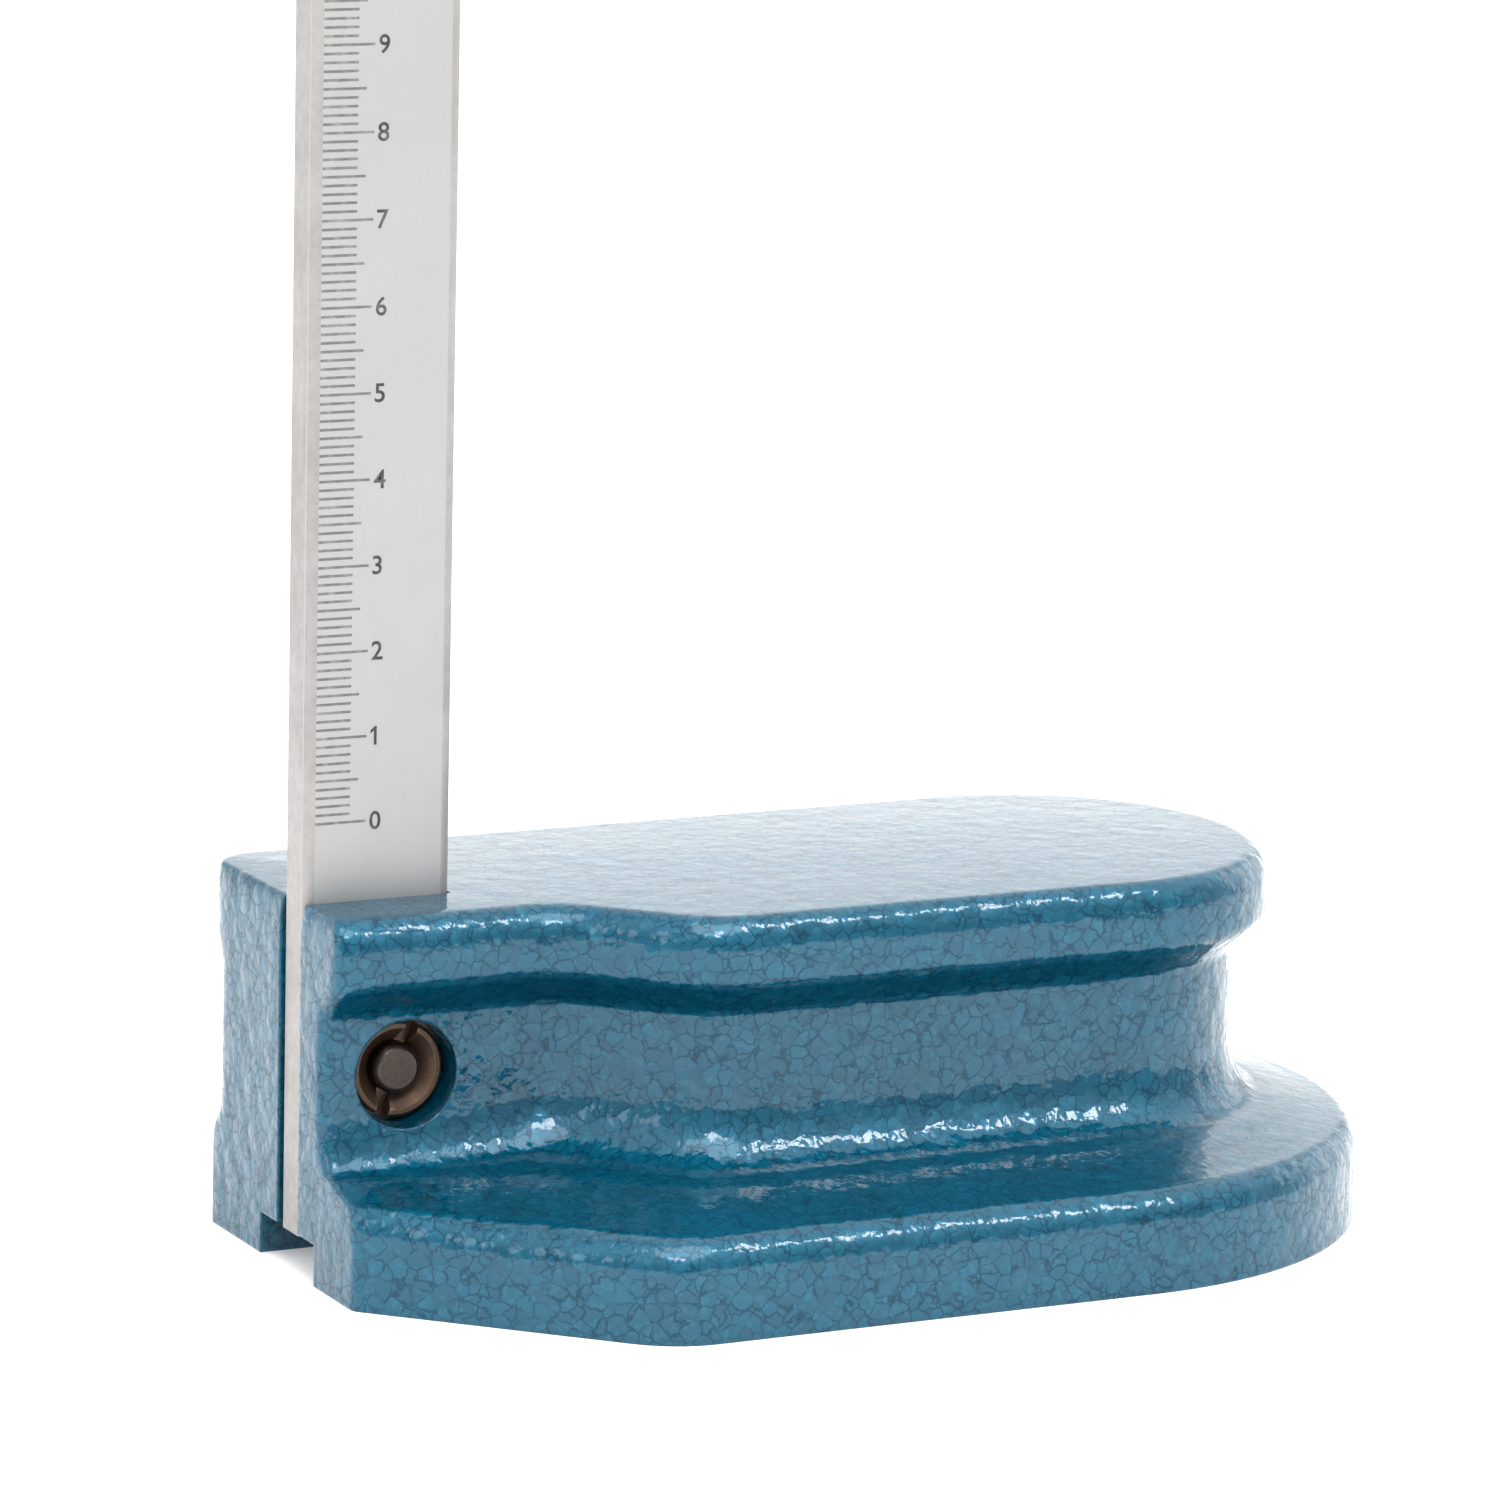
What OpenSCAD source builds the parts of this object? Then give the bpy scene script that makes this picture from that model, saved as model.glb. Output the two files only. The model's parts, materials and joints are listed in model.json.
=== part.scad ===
// Vernier height gauge: a lofted cast base, a graduated beam clamped in its front slot,
// and a slider with a fine-feed carriage, a vernier and a clamped scriber.
// X runs from the scriber back to the rounded grip end, Y = 0 is the middle of the beam's
// thickness with the scale on the -Y side, and Z = 0 is the lapped underside.

/* [Base] */
// Height of the casting
base_h = 44.3; // [42:0.1:45]
// Half width of the foot
foot_half_w = 47.3; // [42:0.1:55]
// Height of the foot's upright face
foot_face_h = 8.2; // [7:0.1:10]
// Radius of the foot's upper edge
foot_round = 4; // [2:0.5:5]
// Rise of the ledge between that edge and the fillet under the waist
ledge_rise = 1.8; // [1:0.1:3]
// Width of the fillet under the waist
fillet_w = 6.6; // [4:0.1:9]
// Centre of the foot's rounded end, behind the front face
foot_end_x = 89.9; // [80:0.1:110]
// Half width of the top plate at its rim
top_half_w = 28.3; // [25:0.1:32]
// Centre of the top plate's rounded end, behind the front face
top_end_x = 98.2; // [80:0.1:110]
// Half width of the finger waist
waist_half_w = 24.2; // [21:0.1:24.8]
// Height where the waist's wall starts
waist_low_z = 21.8; // [20:0.1:25]
// Height where the waist's wall ends
waist_high_z = 31.6; // [28:0.1:32]
// Height of the cove between the waist and the rim
cove_h = 5.6; // [4:0.1:5.9]
// Height where the rim's rounding starts
rim_z = 40.2; // [38:0.1:41]
// Rim of the narrow front block on the scale side, from the beam's middle
front_rim_w = 14.4; // [12.5:0.1:16]
// Waist of the front block on the scale side, from the beam's middle
front_waist_w = 9.7; // [9:0.1:12]
// Foot of the front block on the scale side, from the beam's middle
front_foot_w = 19.4; // [17:0.1:22]
// Where the front block's rim starts to flare on the scale side
flare_x = 27.5; // [24:0.1:32]
// Foot at the front corner on the back side, from the beam's middle
back_foot_w = 23.3; // [20:0.1:26]
// Width of the channel under the beam
channel_w = 16; // [12:0.1:18]
// Depth of the channel under the beam
channel_h = 5; // [4.6:0.1:6]
// Length of the channel
channel_l = 62; // [40:1:80]

/* [Beam] */
// Width of the beam's graduated face
beam_w = 18.5; // [17:0.1:22]
// Thickness of the beam
beam_t = 6; // [5:0.1:8]
// Width of the bevels beside the graduated face
bevel_w = 1.3; // [0.8:0.1:1.6]
// Depth of those bevels
bevel_t = 0.8; // [0.4:0.1:1.2]
// How far the beam's front edge lies behind the base's front face
beam_inset = 0.4; // [0.2:0.1:1]
// Height of the beam's lower end
beam_foot_z = 4.5; // [3:0.1:4.6]
// Height of the zero line
zero_z = 53.7; // [53.5:0.1:60]
// Measuring range
range = 300; // [200:10:450]
// Reading at which the slider stands
reading = 165; // [60:1:180]
// Beam above the carriage at full height
beam_spare = 12; // [11:1:20]

/* [Beam clamp] */
// Diameter of the clamp stud
stud_d = 6; // [5:0.5:7]
// Stud behind the base's front face
stud_x = 10.7; // [9:0.1:12]
// Height of the stud
stud_z = 24.8; // [24:0.1:27]
// Length of the stud in the casting
stud_grip = 15; // [10:1:18]
// Diameter of the slotted nut
nut_d = 11.6; // [10:0.1:12.2]
// Thickness of the slotted nut
nut_h = 4; // [3:0.1:4.6]
// Width of the nut's driver slots
nut_slot_w = 1.7; // [1.2:0.1:2.2]
// Gap between the nut and its well
nut_well_gap = 0.6; // [0.4:0.1:1]

/* [Slider] */
// Length of the vernier, 50 divisions
vernier_l = 49; // [39:1:49]
// Wall of the slider in front of the beam
slider_front = 8.8; // [8:0.1:11]
// Wall of the slider behind the gib
slider_rear = 6.4; // [5.5:0.1:9]
// Thickness of the slider over the scale
slider_near = 4.4; // [4:0.1:6]
// Thickness of the keeper plates over the beam's back
keeper_t = 3.6; // [3:0.1:6]
// Slider below the vernier's zero line
slider_drop = 8; // [7.6:0.1:8]
// Slider above the last vernier line
slider_rise = 9; // [8:0.5:12]
// Bridge of metal above and below the window
bridge_h = 4.5; // [4:0.1:5]
// Right edge of the window, from the beam's front edge
window_w = 15.6; // [12:0.1:16]
// Thickness of the gib
gib_t = 2; // [1.5:0.1:3]
// Thickness of the vernier plate
plate_t = 2.8; // [2.4:0.1:2.9]
// Arm's reach in front of the slider
arm_w = 13; // [10:0.5:18]
// Thickness of the arm and jaw
arm_t = 9; // [7:0.5:10]
// Gap between the arm and the base's front face
arm_gap = 2.5; // [1.5:0.1:4]
// Length of the jaw in front of the arm
jaw_l = 29; // [26:0.5:31]
// Height of the jaw
jaw_h = 10; // [8:0.5:12]
// Chamfer on the edges of the milled blocks
edge = 0.8; // [0.4:0.1:1.2]

/* [Fine feed] */
// Gap between slider and carriage
feed_gap = 6; // [5:0.5:8]
// Fine-feed travel each way
feed_travel = 4; // [2:0.5:4.5]
// Height of the carriage
carriage_h = 22; // [20:1:28]
// Diameter of the fine-feed screw
feed_d = 4; // [3:0.5:5]
// Distance of the fine-feed screw behind the gib's seat
feed_out = 11; // [10.6:0.1:13]
// Diameter of the knurled fine-feed nut
feed_nut_d = 15; // [13:0.5:15.5]
// Thickness of the fine-feed nut
feed_nut_h = 7.6; // [6:0.1:8.4]
// Thickness of the lugs beside the nut
lug_t = 10; // [8:0.5:11]
// Diameter of the pin that holds the fine-feed screw
pin_d = 1.6; // [1.2:0.1:2]

/* [Scriber] */
// Height of the scriber's shank
shank_h = 8; // [7:0.5:10]
// Height of the shank's underside over the measuring edge
shank_lift = 8; // [7:0.5:10]
// Length of the shank
shank_l = 38; // [37:1:44]
// Length of the nose in front of the shank
nose_l = 36; // [30:1:44]
// Rear end of the shank, in front of the base
shank_back = 14; // [13:0.5:18]
// Length of the hard tip
tip_l = 18; // [12:1:20]
// Thickness of the hard tip
tip_h = 2.8; // [2:0.1:3.5]
// Width of the chisel edge
edge_w = 3.6; // [2:0.1:6]
// Length of the scriber clamp along the jaw
yoke_l = 12; // [9:0.5:13]
// Side walls of the scriber clamp
yoke_wall = 3.4; // [2.5:0.1:5]
// Lower web of the scriber clamp
yoke_floor = 4.2; // [3:0.1:5]
// Upper web of the scriber clamp
yoke_roof = 5.5; // [4:0.1:8]
// Room above the jaw inside the clamp
yoke_room = 2.5; // [2:0.1:4]

/* [Screws] */
// Diameter of the knurled heads
thumb_d = 11; // [9:0.5:13]
// Length of the knurled heads
thumb_h = 7.5; // [6:0.5:10]
// Diameter of the thumb screws
thumb_screw_d = 4; // [3:0.5:4.5]
// Diameter of the small screws
small_d = 2.6; // [2:0.1:2.8]
// Height of the small screw heads
small_head_h = 1.2; // [1:0.1:1.5]

/* [Fits] */
// Running gap between moving faces
run_gap = 0.1; // [0.05:0.01:0.2]
// Radial gap round screws and studs
screw_gap = 0.05; // [0.03:0.01:0.1]
// Gap of the beam in its slot
slot_gap = 0.05; // [0.02:0.01:0.1]
// Gap at each side of the fine-feed nut
nut_gap = 0.2; // [0.1:0.05:0.4]

/* [Hidden] */
$fn = 48;
corner_steps = 6;
end_steps = 12;
knurls = 30;
knurl_depth = 0.45;
eps = 0.01;
over = 1;
screw_hold = 3;
small_head_d = small_d + 1.8;

beam_x0 = beam_inset;
beam_x1 = beam_x0 + beam_w;
beam_y = beam_t / 2;

// Slider, seen along Z: the channel that holds the beam and the gib
chan_x0 = beam_x0 - run_gap;
gib_x0 = beam_x1 + run_gap;
chan_x1 = gib_x0 + gib_t;
chan_y = beam_y + run_gap;
slider_x0 = chan_x0 - slider_front;
slider_x1 = chan_x1 + slider_rear;
slider_y0 = -chan_y - slider_near;
slider_y1 = chan_y + keeper_t;
feed_x = chan_x1 + feed_out;
carriage_x1 = feed_x - feed_nut_d / 2 - nut_gap;

// Heights with the slider at its stored reading
vernier_z = zero_z + reading;
slider_z0 = vernier_z - slider_drop;
slider_z1 = vernier_z + vernier_l + slider_rise;
carriage_z0 = slider_z1 + feed_gap;
carriage_z1 = carriage_z0 + carriage_h;
beam_top_z = carriage_z1 - reading + range + beam_spare;
feed_mid_z = (carriage_z0 + carriage_z1) / 2;
clamp_z = vernier_z + vernier_l / 2;
feed_grip = 9;
ear_z0 = slider_z1 - 1.5 * feed_grip;
pin_z = slider_z1 - feed_grip / 2;
stop_z = beam_top_z - beam_spare / 2;

// Heights of the scriber and jaw
edge_z = vernier_z - zero_z;
shank_z0 = edge_z + shank_lift;
shank_z1 = shank_z0 + shank_h;
jaw_z0 = shank_z1 + run_gap;
jaw_z1 = jaw_z0 + jaw_h;

// Arm, jaw and scriber, seen along Y
arm_x1 = -arm_gap;
arm_x0 = slider_x0 - arm_w;
jaw_x0 = arm_x0 - jaw_l;
shank_x1 = -shank_back;
shank_x0 = shank_x1 - shank_l;
nose_x0 = shank_x0 - nose_l;
yoke_xm = arm_x0 - jaw_l / 2;
yoke_y0 = arm_t / 2 + run_gap;
yoke_y1 = yoke_y0 + yoke_wall;
yoke_z0 = shank_z0 - run_gap - yoke_floor;
yoke_room_z = jaw_z1 + yoke_room;
yoke_z1 = yoke_room_z + yoke_roof;

// Seat of the vernier plate, and the places of the small screws
plate_x0 = slider_x0 + 1.6;
plate_z0 = slider_z0 + bridge_h;
plate_z1 = slider_z1 - bridge_h;
plate_floor_y = -chan_y - 1.1;
plate_top_y = plate_floor_y - plate_t;
plate_bevel_x = chan_x0 - 2.6;
plate_edge_x = beam_x0 + bevel_w - run_gap;
vernier_screw_x = (plate_x0 + plate_bevel_x) / 2;
vernier_screw_z = [plate_z0 + 3, plate_z1 - 3];
slider_gib_z = [slider_z0 + 12, slider_z1 - 18];
gib_dimple = 0.6;
keeper_inset = 4.5;
keeper_front_x = slider_x0 + slider_front / 2;
slider_keeper_x = [keeper_front_x, chan_x1 + slider_rear / 2];
slider_keeper_z = [slider_z0 + keeper_inset, slider_z1 - keeper_inset];
carriage_keeper_x = [keeper_front_x, (gib_x0 + carriage_x1) / 2];
carriage_keeper_z = [carriage_z0 + keeper_inset, carriage_z1 - keeper_inset];
pad_l = 2;

// The origin is the middle of the whole gauge's footprint
foot_rear_x = foot_end_x + foot_half_w;
origin_x = (nose_x0 + foot_rear_x) / 2;

// Shared shapes

function unit(v) = v / norm(v);
function smooth(s) = s * s * (3 - 2 * s);
function turn(a) = a > 180 ? a - 360 : a < -180 ? a + 360 : a;

// One rounded corner at b between the neighbours a and c, t long on each leg
function corner(a, b, c, t, steps, last) =
    let (u = unit(a - b),
         v = unit(c - b),
         half = acos(max(-1, u * v)) / 2,
         straight = half > 89.5,
         m = straight ? b : b + unit(u + v) * t / cos(half),
         p = b + u * t - m,
         q = b + v * t - m,
         from = atan2(p.y, p.x),
         sweep = turn(atan2(q.y, q.x) - from),
         r = norm(p))
    [for (i = [0 : last])
        straight ? b + u * t * (1 - 2 * i / steps)
                 : m + r * [cos(from + sweep * i / steps), sin(from + sweep * i / steps)]];

// A closed outline from corners given as [x, y, leg, steps, last step]
function outline(c) =
    [for (k = [0 : len(c) - 1])
        let (a = c[(k + len(c) - 1) % len(c)], b = c[k], d = c[(k + 1) % len(c)])
        each corner([a.x, a.y], [b.x, b.y], [d.x, d.y], b[2], b[3], b[4])];

function between(p, q, s) = [for (i = [0 : len(p) - 1]) p[i] + s * (q[i] - p[i])];

// A solid skinned over outlines that have as many points each
module loft(outlines, heights) {
    n = len(outlines[0]);
    m = len(outlines);
    points = [for (k = [0 : m - 1]) for (p = outlines[k]) [p.x, p.y, heights[k]]];
    sides = [for (k = [0 : m - 2]) for (i = [0 : n - 1])
        let (a = k * n + i, b = k * n + (i + 1) % n)
        each [[a, a + n, b + n], [a, b + n, b]]];
    floor_face = [for (i = [0 : n - 1]) i];
    roof_face = [for (i = [n - 1 : -1 : 0]) (m - 1) * n + i];
    polyhedron(points, concat([floor_face], sides, [roof_face]));
}

module box(low, high) translate(low) cube(high - low);

module bevelled(x0, x1, y0, y1, c)
    polygon([[x0 + c, y0], [x1 - c, y0], [x1, y0 + c], [x1, y1 - c],
             [x1 - c, y1], [x0 + c, y1], [x0, y1 - c], [x0, y0 + c]]);

// A block with every edge chamfered by c
module block(low, high, c) intersection() {
    translate([0, 0, low.z]) linear_extrude(high.z - low.z) bevelled(low.x, high.x, low.y, high.y, c);
    translate([0, high.y, 0]) rotate([90, 0, 0])
        linear_extrude(high.y - low.y) bevelled(low.x, high.x, low.z, high.z, c);
    translate([low.x, 0, 0]) rotate([90, 0, 90])
        linear_extrude(high.x - low.x) bevelled(low.y, high.y, low.z, high.z, c);
}

module along_x(x, y, z) translate([x, y, z]) rotate([0, 90, 0]) children();
module along_y(x, y, z) translate([x, y, z]) rotate([-90, 0, 0]) children();

// A disc with a straight-knurled rim
module knurled(d, h) {
    r = d / 2;
    rim = [for (i = [0 : 2 * knurls - 1])
        let (a = 180 * i / knurls, q = i % 2 == 0 ? r : r - knurl_depth)
        q * [cos(a), sin(a)]];
    linear_extrude(h) polygon(rim);
}

// A thumb screw along +Z whose point is at 0 and whose head starts at reach
module thumb_screw(reach) {
    collar = 1.2;
    cylinder(d = thumb_screw_d, h = reach + eps);
    translate([0, 0, reach]) cylinder(d = thumb_d - 2, h = collar + eps);
    translate([0, 0, reach + collar]) knurled(thumb_d, thumb_h - 2 * collar);
    translate([0, 0, reach + thumb_h - collar - eps])
        cylinder(d1 = thumb_d - 1.2, d2 = thumb_d - 3.2, h = collar);
}

// A small slotted screw along +Z, point at 0 and the top of its head at reach
module slotted_screw(reach, head_d, head_h) {
    slot_w = head_d / 6;
    difference() {
        union() {
            cylinder(d = small_d, h = reach - head_h + eps);
            translate([0, 0, reach - head_h]) cylinder(d = head_d, h = head_h);
        }
        translate([-head_d, -slot_w / 2, reach - head_h / 2]) cube([2 * head_d, slot_w, head_h]);
    }
}

module small_hole(h) cylinder(r = small_d / 2 + screw_gap, h = h);
module small_head_hole(h) cylinder(r = small_head_d / 2 + screw_gap, h = h);
module thumb_hole(h) cylinder(r = thumb_screw_d / 2 + screw_gap, h = h);

// Bar section of the beam
module beam_section() {
    x0 = beam_x0;
    x1 = beam_x1;
    y = beam_y;
    polygon([[x0, -y + bevel_t], [x0 + bevel_w, -y], [x1 - bevel_w, -y], [x1, -y + bevel_t],
             [x1, y - bevel_t], [x1 - bevel_w, y], [x0 + bevel_w, y], [x0, y - bevel_t]]);
}

// Base

module base_casting() {
    front_leg = 1.8;
    flare_leg = 4.6;
    waist_back_leg = 5;
    rim_back_leg = 8;
    foot_front_leg = 0.8;
    foot_leg = 5.4;
    waist_lag = 1.5;
    flare_run = top_half_w - front_rim_w;
    waist_run = waist_half_w - front_waist_w;
    foot_run = foot_half_w - front_foot_w;
    back_run = foot_half_w - back_foot_w;
    back_x = flare_x + flare_run / 2;

    rim = outline([
        [0, -front_rim_w, front_leg, 3, 3],
        [flare_x, -front_rim_w, flare_leg, corner_steps, corner_steps],
        [flare_x + flare_run, -top_half_w, flare_leg, corner_steps, corner_steps],
        [top_end_x + top_half_w, -top_half_w, top_half_w, end_steps, end_steps - 1],
        [top_end_x + top_half_w, top_half_w, top_half_w, end_steps, end_steps],
        [back_x, top_half_w, flare_leg, corner_steps, corner_steps],
        [0, top_half_w, rim_back_leg, corner_steps, corner_steps]]);
    waist = outline([
        [0, -front_waist_w, front_leg, 3, 3],
        [flare_x + waist_lag, -front_waist_w, flare_leg, corner_steps, corner_steps],
        [flare_x + waist_lag + waist_run, -waist_half_w, flare_leg, corner_steps, corner_steps],
        [top_end_x + waist_half_w, -waist_half_w, waist_half_w, end_steps, end_steps - 1],
        [top_end_x + waist_half_w, waist_half_w, waist_half_w, end_steps, end_steps],
        [back_x, waist_half_w, flare_leg, corner_steps, corner_steps],
        [0, waist_half_w, waist_back_leg, corner_steps, corner_steps]]);
    foot = outline([
        [0, -front_foot_w, foot_front_leg, 3, 3],
        [foot_run / 2, -front_foot_w - foot_run / 2, foot_leg, corner_steps, corner_steps],
        [foot_run, -foot_half_w, foot_leg, corner_steps, corner_steps],
        [foot_rear_x, -foot_half_w, foot_half_w, end_steps, end_steps - 1],
        [foot_rear_x, foot_half_w, foot_half_w, end_steps, end_steps],
        [back_run, foot_half_w, foot_leg, corner_steps, corner_steps],
        [0, back_foot_w, foot_front_leg, corner_steps, corner_steps]]);

    // Shares of the way from the waist to the foot, and from the waist to the rim, by height
    top_share = 0.3;
    ledge_run = foot_half_w - waist_half_w;
    ledge_z = foot_face_h + foot_round + ledge_rise;
    round_steps = 4;
    foot_levels = [for (i = [0 : round_steps])
        let (a = 90 * i / round_steps)
        [foot_face_h + foot_round * sin(a), 1 - foot_round / ledge_run * (1 - cos(a))]];
    fillet_steps = 5;
    fillet_levels = [for (i = [0 : fillet_steps])
        let (a = 90 * i / fillet_steps)
        [ledge_z + (waist_low_z - ledge_z) * (1 - cos(a)), fillet_w / ledge_run * (1 - sin(a))]];
    cove_steps = 6;
    cove_levels = [for (i = [0 : cove_steps])
        [waist_high_z + cove_h * i / cove_steps, smooth(i / cove_steps)]];
    rim_levels = [for (i = [0 : round_steps])
        let (a = 90 * i / round_steps)
        [rim_z + (base_h - rim_z) * sin(a), 1 - (1 - top_share) * (1 - cos(a))]];
    low = concat([[0, 1]], foot_levels, fillet_levels);
    high = concat(cove_levels, rim_levels);
    loft(concat([for (l = low) between(waist, foot, l[1])], [for (l = high) between(waist, rim, l[1])]),
         concat([for (l = low) l[0]], [for (l = high) l[0]]));
}

module base() color("steelblue") difference() {
    base_casting();
    // Slot for the beam, open at the front
    box([-over, -beam_y - slot_gap, -over], [beam_x1 + slot_gap, beam_y + slot_gap, base_h + over]);
    // Channel under the beam
    box([-over, -channel_w / 2, -over], [channel_l, channel_w / 2, channel_h]);
    translate([channel_l, 0, -over]) cylinder(d = channel_w, h = channel_h + over);
    // Well for the nut, and the tapped hole for its stud
    along_y(stud_x, -front_foot_w, stud_z) cylinder(r = nut_d / 2 + nut_well_gap, h = front_foot_w);
    along_y(stud_x, 0, stud_z) cylinder(r = stud_d / 2 + screw_gap, h = beam_y + stud_grip);
}

// Beam and its clamp

module beam() color("lightgray") difference() {
    translate([0, 0, beam_foot_z]) linear_extrude(beam_top_z - beam_foot_z) beam_section();
    along_y(stud_x, -beam_t, stud_z) cylinder(r = stud_d / 2 + 2 * screw_gap, h = 2 * beam_t);
    along_y((beam_x0 + beam_x1) / 2, -beam_t, stop_z) small_hole(2 * beam_t);
}

module beam_clamp_stud() color("dimgray") {
    chamfer = 0.6;
    proud = 0.3;
    front_y = -beam_y - nut_h - proud;
    along_y(stud_x, front_y, stud_z) {
        cylinder(d1 = stud_d - 2 * chamfer, d2 = stud_d, h = chamfer);
        translate([0, 0, chamfer]) cylinder(d = stud_d, h = beam_y + stud_grip - front_y - chamfer - over);
    }
}

module beam_clamp_nut() color("black") {
    slot_turn = 20;
    slot_h = nut_h * 0.55;
    dish_d = nut_d - 1.8;
    dish_h = nut_h / 2;
    chamfer = 0.4;
    along_y(stud_x, -beam_y - nut_h, stud_z) difference() {
        union() {
            cylinder(d1 = nut_d - 2 * chamfer, d2 = nut_d, h = chamfer);
            translate([0, 0, chamfer]) cylinder(d = nut_d, h = nut_h - chamfer);
        }
        translate([0, 0, -over]) cylinder(r = stud_d / 2 + screw_gap, h = nut_h + 2 * over);
        translate([0, 0, -eps]) cylinder(d1 = dish_d, d2 = stud_d, h = dish_h);
        rotate([0, 0, slot_turn])
            translate([-nut_slot_w / 2, -nut_d, -over]) cube([nut_slot_w, 2 * nut_d, slot_h + over]);
    }
}

module beam_stop_screw() color("dimgray") {
    head_h = 2;
    along_y((beam_x0 + beam_x1) / 2, -beam_y + over, stop_z)
        slotted_screw(beam_t - over + head_h, small_head_d + 1, head_h);
}

// Slider

// Side view of the arm and jaw, in X and Z, with the throat between them rounded
module arm_outline() {
    throat = 7;
    nose = 3;
    shoulder_z = vernier_z + 22;
    elbow_z = vernier_z + 4;
    difference() {
        union() {
            polygon([[slider_x0 + over, shoulder_z], [slider_x0, shoulder_z], [arm_x0, elbow_z],
                     [arm_x0, jaw_z0], [arm_x1, jaw_z0], [arm_x1, slider_z0 + over],
                     [slider_x0 + over, slider_z0 + over]]);
            translate([jaw_x0 + nose, jaw_z0]) square([jaw_l - nose + eps, jaw_h]);
            translate([jaw_x0, jaw_z0]) square([nose + eps, jaw_h - nose]);
            translate([jaw_x0 + nose, jaw_z1 - nose]) circle(nose);
            translate([arm_x0 - throat, jaw_z1 - eps]) square(throat + eps);
        }
        translate([arm_x0 - throat, jaw_z1 + throat]) circle(throat);
    }
}

module slider_block() block([slider_x0, slider_y0, slider_z0], [slider_x1, slider_y1, slider_z1], edge);

module keeper_room(x1, z0, z1) box([slider_x0 - over, chan_y, z0 - over], [x1, slider_y1 + over, z1 + over]);

// Holes for the screws of a keeper plate: through it, with seats for the heads, and tapped under it
module keeper_holes(xs, zs) for (x = xs) for (z = zs) {
    along_y(x, chan_y - screw_hold - run_gap, z) small_hole(keeper_t + 2 * screw_hold);
    along_y(x, slider_y1 - small_head_h - 2 * run_gap, z) small_head_hole(2 * small_head_h);
}

module keeper_screws(xs, zs) for (x = xs) for (z = zs)
    along_y(x, chan_y - screw_hold, z)
        slotted_screw(screw_hold + keeper_t - 2 * run_gap, small_head_d, small_head_h);

module slider() color("gainsboro") difference() {
    union() {
        difference() {
            slider_block();
            keeper_room(slider_x1 + over, slider_z0, slider_z1);
        }
        // Ear that holds the fine-feed screw
        box([slider_x1, -lug_t / 2, ear_z0], [feed_x, lug_t / 2, slider_z1 - edge]);
        box([slider_x1 - over, -lug_t / 2, ear_z0], [feed_x, chan_y, slider_z1 - edge]);
        translate([feed_x, 0, ear_z0]) cylinder(d = lug_t, h = slider_z1 - edge - ear_z0);
        difference() {
            translate([0, arm_t / 2, 0]) rotate([90, 0, 0]) linear_extrude(arm_t) arm_outline();
            box([slider_x0, chan_y, slider_z0], [slider_x1, arm_t, slider_z1]);
        }
    }
    // Channel for the beam and gib
    box([chan_x0, -chan_y, slider_z0 - over], [chan_x1, chan_y + over, slider_z1 + over]);
    // Window over the scale, and the seat of the vernier plate beside it
    box([chan_x0, slider_y0 - over, plate_z0], [beam_x0 + window_w, 0, plate_z1]);
    box([plate_x0, slider_y0 - over, plate_z0], [chan_x0 + eps, plate_floor_y, plate_z1]);
    for (z = vernier_screw_z) along_y(vernier_screw_x, plate_floor_y - eps, z) small_hole(screw_hold);
    // Tapped holes for the keeper, clamp, gib and fine-feed screws
    keeper_holes(slider_keeper_x, slider_keeper_z);
    along_x(chan_x1 - eps, 0, clamp_z) thumb_hole(2 * slider_rear);
    for (z = slider_gib_z) along_x(chan_x1 - eps, 0, z) small_hole(2 * slider_rear);
    translate([feed_x, 0, slider_z1 - feed_grip]) cylinder(r = feed_d / 2 + screw_gap, h = feed_grip + over);
    along_y(feed_x, -lug_t, pin_z) cylinder(r = pin_d / 2 + screw_gap, h = 2 * lug_t);
}

module slider_keeper() color("gainsboro") difference() {
    intersection() {
        slider_block();
        keeper_room(slider_x1 + over, slider_z0, slider_z1);
    }
    keeper_holes(slider_keeper_x, slider_keeper_z);
}

module slider_keeper_screws() color("dimgray") keeper_screws(slider_keeper_x, slider_keeper_z);

module vernier_plate() color("whitesmoke") difference() {
    edge_y = -chan_y - run_gap;
    translate([0, 0, plate_z0 + run_gap]) linear_extrude(plate_z1 - plate_z0 - 2 * run_gap)
        polygon([[plate_x0 + run_gap, plate_floor_y], [plate_x0 + run_gap, plate_top_y],
                 [plate_bevel_x, plate_top_y], [plate_edge_x, edge_y - 0.4], [plate_edge_x, edge_y],
                 [chan_x0 + run_gap, edge_y], [chan_x0 + run_gap, plate_floor_y]]);
    for (z = vernier_screw_z) along_y(vernier_screw_x, plate_top_y - over, z) {
        small_hole(plate_t + 2 * over);
        small_head_hole(over + small_head_h + 2 * run_gap);
    }
}

module vernier_screws() color("dimgray")
    for (z = vernier_screw_z)
        translate([vernier_screw_x, plate_floor_y + screw_hold - run_gap, z]) rotate([90, 0, 0])
            slotted_screw(plate_t + screw_hold - 3 * run_gap, small_head_d, small_head_h);

// The gib has shallow holes for the points of its screws
module slider_gib() color("darkgoldenrod") difference() {
    box([gib_x0, -beam_y + run_gap, slider_z0 + 2], [chan_x1 - run_gap, beam_y - run_gap, slider_z1 - 2]);
    for (z = slider_gib_z) along_x(chan_x1 - run_gap - gib_dimple, 0, z) small_hole(over);
}

module slider_gib_screws() color("dimgray")
    for (z = slider_gib_z) along_x(chan_x1 - run_gap - gib_dimple, 0, z)
        slotted_screw(slider_rear + gib_dimple + run_gap + small_head_h, small_head_d, small_head_h);

module slider_clamp_screw() color("silver")
    along_x(chan_x1 + run_gap, 0, clamp_z) thumb_screw(slider_rear + 1.5);

// Fine feed

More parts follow.
